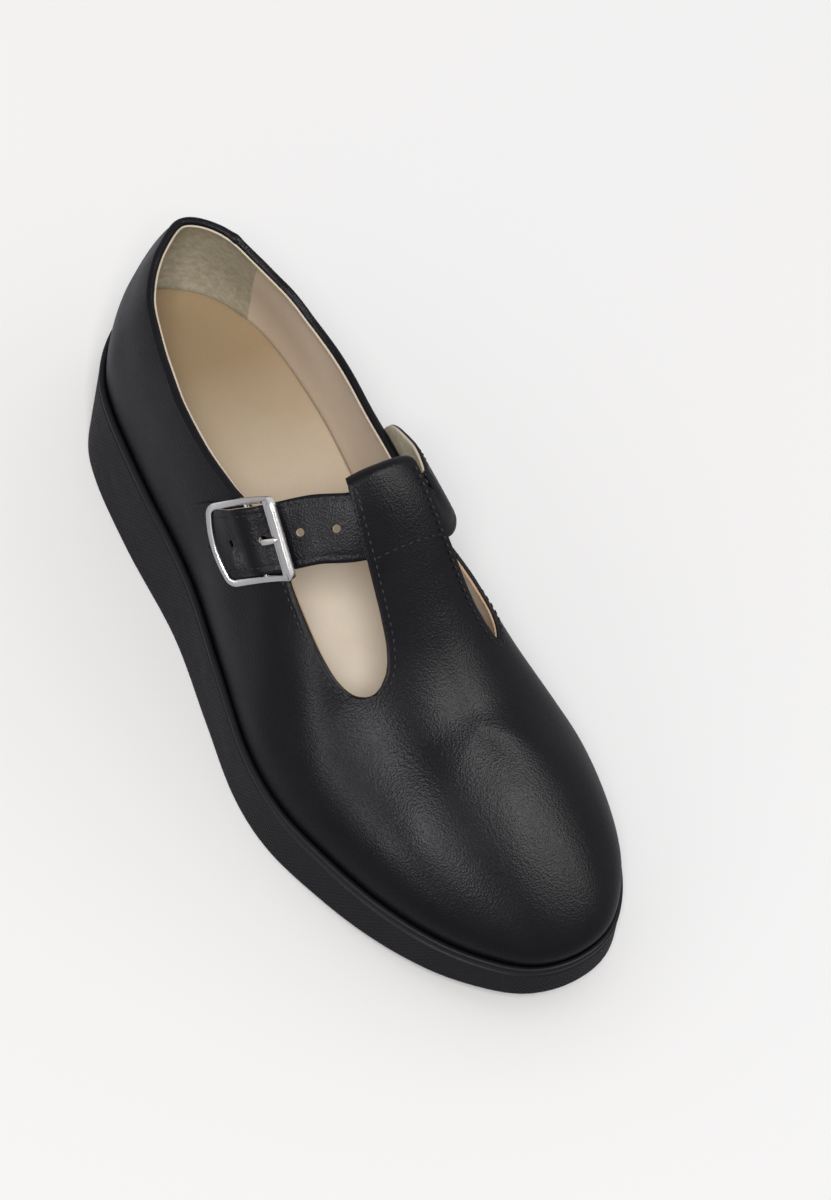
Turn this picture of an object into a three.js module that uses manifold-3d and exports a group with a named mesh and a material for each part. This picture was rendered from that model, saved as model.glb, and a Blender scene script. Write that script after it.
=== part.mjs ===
// A right-foot platform shoe with a T-bar and a buckled strap, in millimetres.
// +X runs to the toe, +Y to the inner (medial) side, +Z up. The floor is z = 0 and the
// origin lies on it under the middle of the heel.
import * as THREE from "three";
import { mergeVertices } from "three/addons/utils/BufferGeometryUtils.js";
import Module from "manifold-3d";

const wasm = await Module();
wasm.setup();

// Sole
const soleLength = 265;
const soleWidth = 96;
const heelSetback = 36;
const platformHeight = 37.7;
const toeSpring = 10.7;
const springStart = 165;
const springPower = 1.7;
const heelBevel = 1.2;
const heelBevelLength = 22;
const edgeRounding = 1.4;
const beadHeight = 3;
const beadStep = 0.8;
const lipWidth = 2.2;
const lipRounding = 0.6;
const recessDepth = 2;
const grooveWidth = 2.2;
const groovePitch = 8;
const grooveDepth = 2;
const grooveMargin = 16;
const treadBorder = 3.5;
// Upper and insole
const fit = 0.3;
const upperWall = 1.8;
const instepRise = 86;
const insoleThickness = 4.4;
const heelCupRise = 3.8;
const heelCupLength = 60;
const cutReach = 9;
const tBarEnd = 98.8;
const foldWall = 1.5;
const bindingRadius = 1.3;
const bindingEnd = 0.392;
// Strap, tab and buckle
const strapWidth = 20.5;
const strapThickness = 1.8;
const strapHoleRadius = 1.5;
const strapHoleDistances = [-9.3, 17.1, 28.1];
const prongHole = 5.6;
const tunnelRoom = 0.9;
const tabThickness = 0.8;
const barRadius = 0.8;
const barLift = 3.3;
const frameReach = 13.8;
const frameRaise = { rear: 2, front: 2.6 };
const restWidth = 3.4;
const restThickness = 0.9;
const wireWidth = 2.1;
const wireHeight = 1.6;
const frameSideRoom = 0.7;
const prongWidth = 1.9;
const prongHeight = 1;

// The sole's outline: shares of soleLength from the heel's back, and of soleWidth.
const outlineRows = [
  { along: 0.03, lateral: 0.153, medial: 0.181 },
  { along: 0.08, lateral: 0.278, medial: 0.278 },
  { along: 0.14, lateral: 0.339, medial: 0.327 },
  { along: 0.25, lateral: 0.375, medial: 0.344 },
  { along: 0.38, lateral: 0.395, medial: 0.328 },
  { along: 0.5, lateral: 0.457, medial: 0.353 },
  { along: 0.6, lateral: 0.508, medial: 0.431 },
  { along: 0.68, lateral: 0.508, medial: 0.485 },
  { along: 0.76, lateral: 0.458, medial: 0.495 },
  { along: 0.84, lateral: 0.384, medial: 0.46 },
  { along: 0.91, lateral: 0.285, medial: 0.399 },
  { along: 0.96, lateral: 0.173, medial: 0.311 },
  { along: 0.99, lateral: 0.064, medial: 0.205 },
];
const heelPoint = { along: 0, across: 0.012 };
const toePoint = { along: 1, across: 0.068 };

// Thickness of the platform, as a share of platformHeight.
const thicknessRows = [
  { along: 0, height: 1 },
  { along: 0.226, height: 0.97 },
  { along: 0.49, height: 0.753 },
  { along: 0.7, height: 0.584 },
  { along: 1, height: 0.347 },
];

// The last's sections. ridge, height and across place the ridge line as shares of
// soleLength, instepRise above the lip and soleWidth; tilt is the crown's slope past the
// ridge's ends, the rounds are the exponents of each side's curve, and the bulges are
// shares of soleWidth.
const sectionRows = [
  { along: 0, ridge: 0.219, height: 1.0035, across: -0.026, tilt: 0, lateralRound: 1.9, medialRound: 1.9, lateralBulge: 0.0167, medialBulge: 0.0167 },
  { along: 0.1, ridge: 0.25, height: 0.9937, across: -0.031, tilt: 0, lateralRound: 1.87, medialRound: 1.6, lateralBulge: 0.0083, medialBulge: 0 },
  { along: 0.19, ridge: 0.295, height: 0.9813, across: -0.031, tilt: 0, lateralRound: 2.2, medialRound: 1.85, lateralBulge: 0.0021, medialBulge: -0.0062 },
  { along: 0.31, ridge: 0.365, height: 0.9776, across: -0.031, tilt: 0, lateralRound: 2.8, medialRound: 2.3, lateralBulge: 0, medialBulge: -0.0031 },
  { along: 0.4, ridge: 0.43, height: 0.9836, across: -0.021, tilt: 0, lateralRound: 2.4, medialRound: 2.15, lateralBulge: 0, medialBulge: -0.0083 },
  { along: 0.48, ridge: 0.488, height: 0.9721, across: -0.005, tilt: 0, lateralRound: 1.97, medialRound: 2, lateralBulge: 0, medialBulge: -0.0271 },
  { along: 0.54, ridge: 0.54, height: 0.897, across: 0.005, tilt: 0, lateralRound: 1.97, medialRound: 2, lateralBulge: 0, medialBulge: -0.0458 },
  { along: 0.62, ridge: 0.617, height: 0.7133, across: 0.012, tilt: 0, lateralRound: 1.97, medialRound: 2, lateralBulge: 0, medialBulge: -0.0354 },
  { along: 0.68, ridge: 0.672, height: 0.576, across: 0.019, tilt: 0, lateralRound: 1.97, medialRound: 1.95, lateralBulge: 0.0021, medialBulge: -0.0125 },
  { along: 0.76, ridge: 0.72, height: 0.4966, across: 0.036, tilt: -0.1, lateralRound: 2.05, medialRound: 1.95, lateralBulge: 0.0062, medialBulge: 0.0042 },
  { along: 0.86, ridge: 0.755, height: 0.462, across: 0.057, tilt: -0.2, lateralRound: 2.25, medialRound: 2.2, lateralBulge: 0.0104, medialBulge: 0.0104 },
  { along: 1, ridge: 0.775, height: 0.4246, across: 0.068, tilt: -0.28, lateralRound: 2.5, medialRound: 2.5, lateralBulge: 0.0146, medialBulge: 0.0146 },
];

// The collar: at is a share of the way round each side from the heel's back to the
// toe's tip, and each side's value is a share of the climb from the lip to the ridge.
const collarRows = [
  { at: 0, lateral: 0.439, medial: 0.439 },
  { at: 0.055, lateral: 0.447, medial: 0.449 },
  { at: 0.12, lateral: 0.441, medial: 0.451 },
  { at: 0.215, lateral: 0.407, medial: 0.418 },
  { at: 0.263, lateral: 0.361, medial: 0.352 },
  { at: 0.3, lateral: 0.321, medial: 0.31 },
  { at: 0.332, lateral: 0.32, medial: 0.308 },
  { at: 0.364, lateral: 0.374, medial: 0.352 },
  { at: 0.38, lateral: 0.415, medial: 0.37 },
  { at: 0.405, lateral: 0.472, medial: 0.383 },
  { at: 0.43, lateral: 0.49, medial: 0.39 },
  { at: 0.45, lateral: 0.495, medial: 0.402 },
];
// The cut-outs beside the T-bar, from the collar down to their round ends.
const lateralCutRows = [
  { at: 0.405, outer: 0.472, inner: 0.85 },
  { at: 0.43, outer: 0.49, inner: 0.843 },
  { at: 0.46, outer: 0.497, inner: 0.836 },
  { at: 0.492, outer: 0.523, inner: 0.829 },
  { at: 0.52, outer: 0.549, inner: 0.82 },
  { at: 0.545, outer: 0.579, inner: 0.803 },
  { at: 0.562, outer: 0.616, inner: 0.772 },
  { at: 0.571, outer: 0.658, inner: 0.73 },
  { at: 0.5735, outer: 0.685, inner: 0.703 },
];
const medialCutRows = [
  { at: 0.405, outer: 0.383, inner: 0.75 },
  { at: 0.43, outer: 0.39, inner: 0.745 },
  { at: 0.448, outer: 0.4, inner: 0.745 },
  { at: 0.472, outer: 0.425, inner: 0.74 },
  { at: 0.5, outer: 0.465, inner: 0.725 },
  { at: 0.525, outer: 0.513, inner: 0.708 },
  { at: 0.545, outer: 0.565, inner: 0.683 },
  { at: 0.557, outer: 0.605, inner: 0.658 },
  { at: 0.563, outer: 0.628, inner: 0.642 },
];

const material = (color, roughness, metalness) =>
  new THREE.MeshStandardMaterial({ color, roughness, metalness });
const blackLeather = material(0x1e1d22, 0.42, 0);
const blackRubber = material(0x1b1a1c, 0.8, 0);
const beigeLeather = material(0xb39e86, 0.75, 0);
const silver = material(0xd2cfcc, 0.2, 1);

// A smooth curve through one column of a table.
function blend(rows, key, column, value) {
  const last = rows.length - 1;
  const x = THREE.MathUtils.clamp(value, rows[0][key], rows[last][key]);
  let i = 0;
  while (i < last - 1 && x >= rows[i + 1][key]) i++;
  const slope = (k) => {
    const a = rows[Math.max(k - 1, 0)];
    const b = rows[Math.min(k + 1, last)];
    return (b[column] - a[column]) / (b[key] - a[key]);
  };
  const span = rows[i + 1][key] - rows[i][key];
  const u = (x - rows[i][key]) / span;
  return (
    (2 * u ** 3 - 3 * u ** 2 + 1) * rows[i][column] +
    (u ** 3 - 2 * u ** 2 + u) * span * slope(i) +
    (3 * u ** 2 - 2 * u ** 3) * rows[i + 1][column] +
    (u ** 3 - u ** 2) * span * slope(i + 1)
  );
}

const outlinePoint = (along, across) =>
  new THREE.Vector3(along * soleLength - heelSetback, across * soleWidth, 0);
const outlineCurve = new THREE.CatmullRomCurve3(
  [
    outlinePoint(heelPoint.along, heelPoint.across),
    ...outlineRows.map((row) => outlinePoint(row.along, -row.lateral)),
    outlinePoint(toePoint.along, toePoint.across),
    ...outlineRows.toReversed().map((row) => outlinePoint(row.along, row.medial)),
  ],
  true,
  "catmullrom",
  0.5,
);

// A point of the outline moved inwards. around runs 0 to 1 from the heel's back, first
// along the lateral side to the toe's tip at 0.5, then back along the medial side.
function outline(around, inset) {
  const turn = ((around % 1) + 1) % 1;
  const point = outlineCurve.getPoint(turn);
  const tangent = outlineCurve.getTangent(turn);
  point.x -= tangent.y * inset;
  point.y += tangent.x * inset;
  return point;
}

const share = (x) => THREE.MathUtils.clamp((x + heelSetback) / soleLength, 0, 1);

function springHeight(x) {
  const run = Math.max(x + heelSetback - springStart, 0) / (soleLength - springStart);
  return toeSpring * run ** springPower;
}

function groundHeight(x) {
  const bevel = Math.max(heelBevelLength - heelSetback - x, 0) / heelBevelLength;
  return springHeight(x) + heelBevel * bevel ** 2;
}

const lipHeight = (x) =>
  springHeight(x) + platformHeight * blend(thicknessRows, "along", "height", share(x));

// A point of the upper's outer surface. climb runs 0 at the lip to 1 on the ridge.
function skinBase(around, climb) {
  const turn = ((around % 1) + 1) % 1;
  const foot = outline(turn, lipWidth + fit);
  const mirror = outline(1 - turn, lipWidth + fit);
  const middle = (foot.x + mirror.x) / 2;
  const along = share(middle);
  const column = (name) => blend(sectionRows, "along", name, along);
  const ridgeX = column("ridge") * soleLength - heelSetback;
  const ridgeY = column("across") * soleWidth;
  const ridgeZ = lipHeight(middle) + column("height") * instepRise;
  const fromEnd = Math.min(turn, 1 - turn, Math.abs(turn - 0.5));
  const side = (turn < 0.5 ? 1 : -1) * Math.min(fromEnd / 0.04, 1);
  const mix = (name) =>
    (column("lateral" + name) * (1 + side) + column("medial" + name) * (1 - side)) / 2;
  const power = 2 / mix("Round");
  const angle = (climb * Math.PI) / 2;
  const out = Math.max(Math.cos(angle), 0) ** power;
  const up = Math.sin(angle) ** power;
  const reach = new THREE.Vector2(foot.x - ridgeX, foot.y - ridgeY);
  const bulge = mix("Bulge") * soleWidth * 6.75 * up * (1 - up) ** 2;
  const grow = out + bulge / reach.length();
  const lip = lipHeight(foot.x);
  const crown = ridgeZ + column("tilt") * reach.x * grow;
  return new THREE.Vector3(
    ridgeX + reach.x * grow,
    ridgeY + reach.y * grow,
    lip + (crown - lip) * up,
  );
}

// The outward normal there. On the ridge both sides share one normal.
function sideNormal(around, climb) {
  const step = 0.001;
  const run = skinBase(around + step, climb).sub(skinBase(around - step, climb));
  const rise = skinBase(around, climb + step).sub(skinBase(around, climb - step));
  return run.cross(rise).normalize();
}

function skinNormal(around, climb) {
  const inner = THREE.MathUtils.clamp(climb, 0.004, 0.985);
  const normal = sideNormal(around, inner);
  return climb < 0.999 ? normal : normal.add(sideNormal(1 - around, inner)).normalize();
}

const skin = (around, climb, lift) =>
  skinBase(around, climb).addScaledVector(skinNormal(around, climb), lift);
const aroundAt = (side, at) => (side === "lateral" ? at / 2 : 1 - at / 2);

// A closed body through closed rings of points. Each end is closed by rungs that pair
// point i with the point as far from the ring's end; a hoop joins its ends instead.
function loft(rings, pairing = 0, hoop = false) {
  const count = rings[0].length;
  const index = [];
  for (let ring = 0; ring < rings.length - (hoop ? 0 : 1); ring++) {
    const next = (ring + 1) % rings.length;
    for (let i = 0; i < count; i++) {
      const j = (i + 1) % count;
      const [a, b] = [ring * count + i, ring * count + j];
      const [c, d] = [next * count + i, next * count + j];
      index.push(a, b, d, a, d, c);
    }
  }
  const last = (rings.length - 1) * count;
  for (let i = 0; !hoop && i + 1 <= count - pairing - i - 1; i++) {
    const far = count - pairing - i - 1;
    const near = (far + 1) % count;
    index.push(i + 1, i, near, i + 1, near, far);
    index.push(last + i, last + i + 1, last + far, last + i, last + far, last + near);
  }
  const geometry = new THREE.BufferGeometry().setFromPoints(rings.flat());
  return solidOf(geometry.setIndex(index));
}

function solidOf(geometry) {
  const bare = geometry.clone();
  bare.deleteAttribute("normal");
  bare.deleteAttribute("uv");
  const merged = mergeVertices(bare, 1e-4);
  const corners = merged.index.array;
  const kept = [];
  for (let i = 0; i < corners.length; i += 3) {
    const [a, b, c] = corners.slice(i, i + 3);
    if (a !== b && b !== c && c !== a) kept.push(a, b, c);
  }
  const build = (triVerts) =>
    new wasm.Manifold(
      new wasm.Mesh({
        numProp: 3,
        vertProperties: merged.attributes.position.array,
        triVerts: new Uint32Array(triVerts),
      }),
    );
  const solid = build(kept);
  return solid.volume() > 0 ? solid : build(kept.toReversed());
}

function meshOf(name, solid, look) {
  const { vertProperties, triVerts } = solid.getMesh();
  const geometry = new THREE.BufferGeometry();
  geometry.setAttribute("position", new THREE.BufferAttribute(vertProperties, 3));
  geometry.setIndex(new THREE.BufferAttribute(triVerts, 1));
  geometry.computeVertexNormals();
  const mesh = new THREE.Mesh(geometry, look);
  mesh.name = name;
  return mesh;
}

const steps = (count, from = 0, to = 1) =>
  Array.from({ length: count + 1 }, (_, i) => from + ((to - from) * i) / count);
const turns = steps(84).slice(0, -1);
const outlineRing = (inset, height) =>
  turns.map((around) => {
    const point = outline(around, inset);
    point.z = height(point.x);
    return point;
  });

// The sole: a tapering wall with a bead under its lip, and a recess for the upper.
const wallLean = 0.5;
const soleBlock = loft([
  outlineRing(edgeRounding, groundHeight),
  outlineRing(0, (x) => groundHeight(x) + edgeRounding),
  outlineRing(wallLean + beadStep, (x) => lipHeight(x) - beadHeight),
  outlineRing(wallLean, (x) => lipHeight(x) - beadHeight + beadStep),
  outlineRing(wallLean, (x) => lipHeight(x) - lipRounding),
  outlineRing(wallLean + lipRounding, lipHeight),
  outlineRing(lipWidth, lipHeight),
  outlineRing(lipWidth, (x) => lipHeight(x) - recessDepth),
]);
const treadField = loft([
  outlineRing(treadBorder, () => -platformHeight),
  outlineRing(treadBorder, () => platformHeight),
]);
const grooveCount = Math.floor((soleLength - 2 * grooveMargin) / groovePitch);
const grooves = steps(grooveCount, 0, grooveCount).map((step) => {
  const x = grooveMargin - heelSetback + step * groovePitch;
  const slope = (groundHeight(x + 1) - groundHeight(x - 1)) / 2;
  const bar = new THREE.BoxGeometry(grooveWidth, soleWidth * 1.5, grooveDepth * 2);
  bar.rotateY(-Math.atan(slope));
  bar.translate(x, 0, groundHeight(x));
  return solidOf(bar);
});
const sole = soleBlock.subtract(
  grooves.reduce((all, bar) => all.add(bar)).intersect(treadField),
);

// The upper: the last's skin with its wall, open underneath, at the collar and at the
// cut-outs beside the T-bar.
const climbs = [0, 0.08, 0.17, 0.27, 0.38, 0.5, 0.62, 0.75, 0.88, 1];
const skinBody = (lift, drop) => {
  const rings = climbs.map((climb) => turns.map((around) => skin(around, climb, lift)));
  const foot = rings[0].map((point) => point.clone().setZ(point.z - drop));
  return loft([foot, ...rings]);
};
const hollow = skinBody(-upperWall, recessDepth * 4);
const shell = skinBody(0, recessDepth - fit).subtract(hollow);

const collarEnd = collarRows.at(-1).at;
// A point on a side's skin, a distance below the collar's edge.
function belowCollar(side, at, distance, lift) {
  const around = aroundAt(side, at);
  const climb = blend(collarRows, "at", side, at);
  const slope = skinBase(around, climb).distanceTo(skinBase(around, climb - 0.01)) / 0.01;
  return skin(around, climb - distance / slope, lift);
}
const collarLoop = (lift) => {
  const bound = (at) => THREE.MathUtils.clamp((bindingEnd + 0.012 - at) / 0.01, 0, 1);
  const edge = (side) => (at) =>
    belowCollar(side, at, (2 * bindingRadius + fit) * bound(at), lift);
  return [
    ...steps(32, collarEnd, 0).map(edge("lateral")),
    ...steps(32, 0, collarEnd).slice(1).map(edge("medial")),
  ];
};
const behindTBar = (point) => point.setX(Math.min(point.x, tBarEnd));
const collarCutter = loft(
  [
    collarLoop(-cutReach).map(behindTBar),
    collarLoop(cutReach).map(behindTBar),
    collarLoop(cutReach).map((point) => behindTBar(point).setZ(point.z + instepRise)),
  ],
  1,
);
const cutLoop = (side, rows, lift) => {
  const first = rows[0].at;
  const last = rows.at(-1).at;
  const ats = steps(18).map((u) => first + (last - first) * Math.sin((u * Math.PI) / 2));
  const edge = (column) => (at) =>
    skin(aroundAt(side, at), blend(rows, "at", column, at), lift);
  return [...ats.map(edge("outer")), ...ats.toReversed().map(edge("inner"))];
};
const cutOut = (side, rows) =>
  loft([cutLoop(side, rows, -cutReach), cutLoop(side, rows, cutReach)], 1);

// The T-bar's end turns down and back under the strap, and joins the T-bar again.
const tBarFold = { from: 0.4275, fold: 0.4325, stitch: 0.482, to: 0.4885 };
const tBarEdge = { lateral: 0.85, medial: 0.75 };
const tunnelHeight = strapThickness + 2 * tunnelRoom;
const acrossTBar = (at, lift, spread) => [
  ...steps(3, tBarEdge.lateral - spread, 1).map((climb) => skin(at / 2, climb, lift)),
  ...steps(4, 1, tBarEdge.medial - spread).slice(1).map((climb) => skin(1 - at / 2, climb, lift)),
];
const tBarBlock = (from, to, low, high, spread) =>
  loft(
    steps(6, from, to).map((at) => [
      ...acrossTBar(at, low, spread),
      ...acrossTBar(at, high, spread).toReversed(),
    ]),
    1,
  );
const tunnelTop = -upperWall;
const tunnelFloor = tunnelTop - tunnelHeight;
const tBarLoop = tBarBlock(
  tBarFold.from, tBarFold.to, tunnelFloor - foldWall, -upperWall / 2, 0,
).subtract(tBarBlock(tBarFold.fold, tBarFold.stitch, tunnelFloor, tunnelTop, 0.1));
const upper = shell
  .subtract(collarCutter)
  .subtract(cutOut("lateral", lateralCutRows))
  .subtract(cutOut("medial", medialCutRows))
  .add(tBarLoop);

// The insole fills the upper's floor and cups the heel.
const insoleFloor = (x) => lipHeight(x) - recessDepth + fit;
const cup = (x) => heelCupRise * Math.max(1 - (x + heelSetback) / heelCupLength, 0) ** 1.5;
const insoleTop = (depth) => (x) => insoleFloor(x) + insoleThickness + cup(x) * depth;
const insoleInset = lipWidth + fit + upperWall + fit;
const insole = loft([
  outlineRing(insoleInset, insoleFloor),
  outlineRing(insoleInset, insoleTop(0.8)),
  outlineRing(insoleInset + 0.8, insoleTop(1)),
  outlineRing(insoleInset + 5, insoleTop(0.45)),
  outlineRing(insoleInset + 18, insoleTop(0)),
]).intersect(skinBody(-upperWall - fit, recessDepth * 4));

// The collar's rolled binding sits on the wall's cut edge.
const collarBinding = (radius) => {
  const centre = (side) => (at) =>
    belowCollar(side, at, bindingRadius, -upperWall / 2);
  const path = new THREE.CatmullRomCurve3([
    ...steps(30, bindingEnd, 0).map(centre("lateral")),
    ...steps(30, 0, bindingEnd).slice(1).map(centre("medial")),
  ]);
  return loft(
    steps(48).map((u) => {
      const point = path.getPointAt(u);
      const side = path.getTangentAt(u).cross(new THREE.Vector3(0, 0, 1)).normalize();
      return steps(6).slice(1).map((turn) => {
        const angle = turn * 2 * Math.PI;
        return point.clone()
          .addScaledVector(side, radius * Math.cos(angle))
          .add(new THREE.Vector3(0, 0, radius * Math.sin(angle)));
      });
    }),
  );
};

// The strap runs from its flared base on the medial quarter through the T-bar's fold,
// under the buckle's first bar, over the middle bar and under the last one. rear and
// front are its half widths, as shares of half the strap's width; twist, in degrees,
// turns its rear edge towards the foot.
const seatLift = fit + strapThickness / 2;
const tunnelLift = tunnelTop - tunnelRoom - strapThickness / 2;
const sleeveRadius = barRadius + fit + tabThickness;
const eyeRadius = barRadius + fit + prongHeight;
const overBar = barLift + Math.max(sleeveRadius, eyeRadius) + fit + strapThickness / 2;
const overTab = tabThickness + fit + seatLift;
const strapRows = [
  { side: "medial", at: 0.36, climb: 0.17, lift: seatLift + 0.3, rear: 0.9, front: 1.5, twist: 0 },
  { side: "medial", at: 0.373, climb: 0.25, lift: seatLift + 0.2, rear: 1.1, front: 1.75, twist: 0 },
  { side: "medial", at: 0.387, climb: 0.34, lift: seatLift + 0.2, rear: 1.3, front: 2.05, twist: 0 },
  { side: "medial", at: 0.4, climb: 0.41, lift: seatLift + 0.4, rear: 1.35, front: 1.9, twist: 0 },
  { side: "medial", at: 0.413, climb: 0.48, lift: seatLift + 0.8, rear: 1.2, front: 1.5, twist: 0 },
  { side: "medial", at: 0.425, climb: 0.545, lift: seatLift + 0.6, rear: 1.1, front: 1.15, twist: 0 },
  { side: "medial", at: 0.4365, climb: 0.6, lift: seatLift - 0.3, rear: 1, front: 1, twist: 0 },
  { side: "medial", at: 0.4465, climb: 0.645, lift: tunnelLift + 1.6, rear: 1, front: 1, twist: 0 },
  { side: "medial", at: 0.454, climb: 0.695, lift: tunnelLift + 0.2, rear: 1, front: 1, twist: 0 },
  { side: "medial", at: 0.4575, climb: 0.76, lift: tunnelLift, rear: 1, front: 1, twist: 0 },
  { side: "medial", at: 0.4585, climb: 0.87, lift: tunnelLift, rear: 1, front: 1, twist: 0 },
  { side: "lateral", at: 0.4585, climb: 1, lift: tunnelLift, rear: 1, front: 1, twist: 0 },
  { side: "lateral", at: 0.457, climb: 0.84, lift: tunnelLift, rear: 1, front: 1, twist: 0 },
  { side: "lateral", at: 0.4375, climb: 0.65, lift: seatLift - 2.4, rear: 1, front: 1, twist: -3 },
  { side: "lateral", at: 0.4255, climb: 0.545, lift: seatLift + 0.7, rear: 1, front: 1, twist: -7 },
  { side: "lateral", at: 0.4195, climb: 0.5, lift: overBar - 1.1, rear: 1, front: 1, twist: -9 },
  { side: "lateral", at: 0.4118, climb: 0.452, lift: overBar, rear: 1, front: 1, twist: -9 },
  { side: "lateral", at: 0.4035, climb: 0.395, lift: overBar - 1.3, rear: 1, front: 1, twist: -8 },
  { side: "lateral", at: 0.3895, climb: 0.3, lift: overTab + 0.8, rear: 1, front: 1, twist: -4 },
  { side: "lateral", at: 0.383, climb: 0.26, lift: overTab + 0.6, rear: 0.92, front: 0.92, twist: -2 },
  { side: "lateral", at: 0.3795, climb: 0.238, lift: overTab + 0.4, rear: 0.6, front: 0.6, twist: -2 },
];
const barRow = 16;
const strapCurve = new THREE.CatmullRomCurve3(
  strapRows.map((row) => skin(aroundAt(row.side, row.at), row.climb, row.lift)),
);
const strapNormals = new THREE.CatmullRomCurve3(
  strapRows.map((row) => skinNormal(aroundAt(row.side, row.at), row.climb)),
);
const strapLengths = strapCurve.getLengths((strapRows.length - 1) * 20);
const strapLength = strapLengths.at(-1);
const barDistance = strapLengths[barRow * 20];
// How much the skin itself bends across the strap, as a curvature.
function skinBend({ side, at, climb }, order) {
  const reach = strapWidth / 2;
  const here = skinBase(aroundAt(side, at), climb);
  const along = skinBase(aroundAt(side, at + 0.01), climb).sub(here);
  const up = here.clone().sub(skinBase(aroundAt(side, at), climb - 0.01));
  const normal = skinNormal(aroundAt(side, at), climb);
  const wide = strapCurve.getTangent(order).cross(normal).normalize();
  const [acrossUp, acrossAlong] = [up.clone().cross(normal), along.clone().cross(normal)];
  const forward = (wide.dot(acrossUp) / along.dot(acrossUp)) * 0.01 * reach;
  const higher = (wide.dot(acrossAlong) / up.dot(acrossAlong)) * 0.01 * reach;
  const edges = [-1, 1].map((way) =>
    skinBase(aroundAt(side, at + way * forward), Math.min(climb + way * higher, 1)));
  const turn = edges[0].clone().add(edges[1]).addScaledVector(here, -2);
  return turn.dot(normal) / edges[0].distanceTo(here) / edges[1].distanceTo(here);
}
const strapWidths = strapRows.map((row, i) => {
  const order = i / (strapRows.length - 1);
  return { ...row, order, bend: skinBend(row, order) };
});

// The strap's local directions at a distance from its base. wide points to the heel.
function strapFrame(distance) {
  const u = distance / strapLength;
  const order = strapCurve.getUtoTmapping(u);
  const travel = strapCurve.getTangent(order);
  const twist = THREE.MathUtils.degToRad(blend(strapWidths, "order", "twist", order));
  const wide = travel.clone().cross(strapNormals.getPoint(order)).normalize()
    .applyAxisAngle(travel, twist);
  const outward = wide.clone().cross(travel);
  return { point: strapCurve.getPoint(order), travel, wide, outward, order };
}

const strapHalf = strapWidth / 2;
const strapRing = (distance) => {
  const { point, wide, outward, order } = strapFrame(distance);
  const rear = blend(strapWidths, "order", "rear", order) * strapHalf;
  const front = blend(strapWidths, "order", "front", order) * strapHalf;
  const bend = blend(strapWidths, "order", "bend", order) / 2;
  const h = strapThickness / 2;
  const corner = h * 0.6;
  const section = [
    [-front, -corner], [-front + corner, -h], [0, -h], [rear - corner, -h], [rear, -corner],
    [rear, corner], [rear - corner, h], [0, h], [-front + corner, h], [-front, corner],
  ];
  return section.map(([w, n]) =>
    point.clone().addScaledVector(wide, w).addScaledVector(outward, n + bend * w * w));
};

// The buckle's own frame: e1 points to the T-bar, e2 to the heel, e3 outwards.
const bar = strapFrame(barDistance);
const barSeat = strapRows[barRow];
const barCentre = skin(aroundAt(barSeat.side, barSeat.at), barSeat.climb, barLift);
const toTBar = bar.travel.clone().negate();
const buckleTurn = new THREE.Matrix4()
  .makeBasis(toTBar, bar.wide, toTBar.clone().cross(bar.wide))
  .setPosition(barCentre);
const inBuckle = (e1, e2, e3) => new THREE.Vector3(e1, e2, e3).applyMatrix4(buckleTurn);

function rod(radius, length, turned) {
  const geometry = new THREE.CylinderGeometry(radius, radius, length, 12);
  if (turned) geometry.rotateX(Math.PI / 2);
  return geometry;
}
const placed = (geometry) => solidOf(geometry.applyMatrix4(buckleTurn));

const strapHoles = strapHoleDistances.map((distance) => {
  const { point, travel, wide, outward } = strapFrame(barDistance - distance);
  const turn = new THREE.Matrix4().makeBasis(travel, outward, wide).setPosition(point);
  return solidOf(rod(strapHoleRadius, strapThickness * 4).applyMatrix4(turn));
});
const prongOpenings = [-0.9, 0.9].map((shift) =>
  placed(rod(strapHoleRadius, sleeveRadius * 6, true).translate(prongHole + shift, 0, 0)));

// What the strap keeps clear of: the T-bar's wall and fold, and the quarters' own skin.
const fitAt = fit / soleLength;
const quarters = loft(
  climbs.filter((climb) => climb <= 0.5)
    .map((climb) => turns.map((around) => skin(around, climb, fit))),
);
const tBarRoom = tBarBlock(
  tBarFold.fold, tBarFold.to, tunnelTop - fit, tunnelTop + 2 * upperWall, 0.015,
).add(tBarBlock(
  tBarFold.from - 0.02, tBarFold.fold + fitAt, tunnelFloor - foldWall, tunnelTop + upperWall, 0.004,
)).add(tBarBlock(
  tBarFold.stitch - fitAt, tBarFold.to + 0.02, tunnelFloor - foldWall, tunnelTop + upperWall, 0.004,
));
const strap = [
  ...strapHoles, ...prongOpenings, quarters, tBarRoom, collarBinding(bindingRadius + 2 * fit),
].reduce(
  (whole, cutter) => whole.subtract(cutter),
  loft(steps(36, 0, strapLength).map(strapRing)),
);

// The buckle's frame: a rounded square of flat wire with its middle bar.
const frameHalfWidth = strapHalf + frameSideRoom + wireWidth / 2;
const frameCorner = 2.4;
const frameBow = 1.6;
const framePoint = (e1, e2) => {
  const bowed = e1 < 0 ? e1 - frameBow * (1 - (e2 / frameHalfWidth) ** 2) : e1;
  const raise = e1 < 0 ? frameRaise.rear : frameRaise.front;
  return new THREE.Vector3(bowed, e2, raise * (e1 / frameReach) ** 2);
};
const frameCorners = [[1, -1], [1, 1], [-1, 1], [-1, -1]];
const frameTrack = frameCorners.flatMap(([a, b], i) => {
  const start = Math.atan2(b, a) - Math.PI / 4;
  const points = steps(5).map((u) => {
    const angle = start + (u * Math.PI) / 2;
    return framePoint(
      a * (frameReach - frameCorner) + frameCorner * Math.cos(angle),
      b * (frameHalfWidth - frameCorner) + frameCorner * Math.sin(angle),
    );
  });
  const [c, d] = frameCorners[(i + 1) % 4];
  const middle = framePoint(((a + c) / 2) * frameReach, ((b + d) / 2) * frameHalfWidth);
  return [...points, middle];
});
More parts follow.
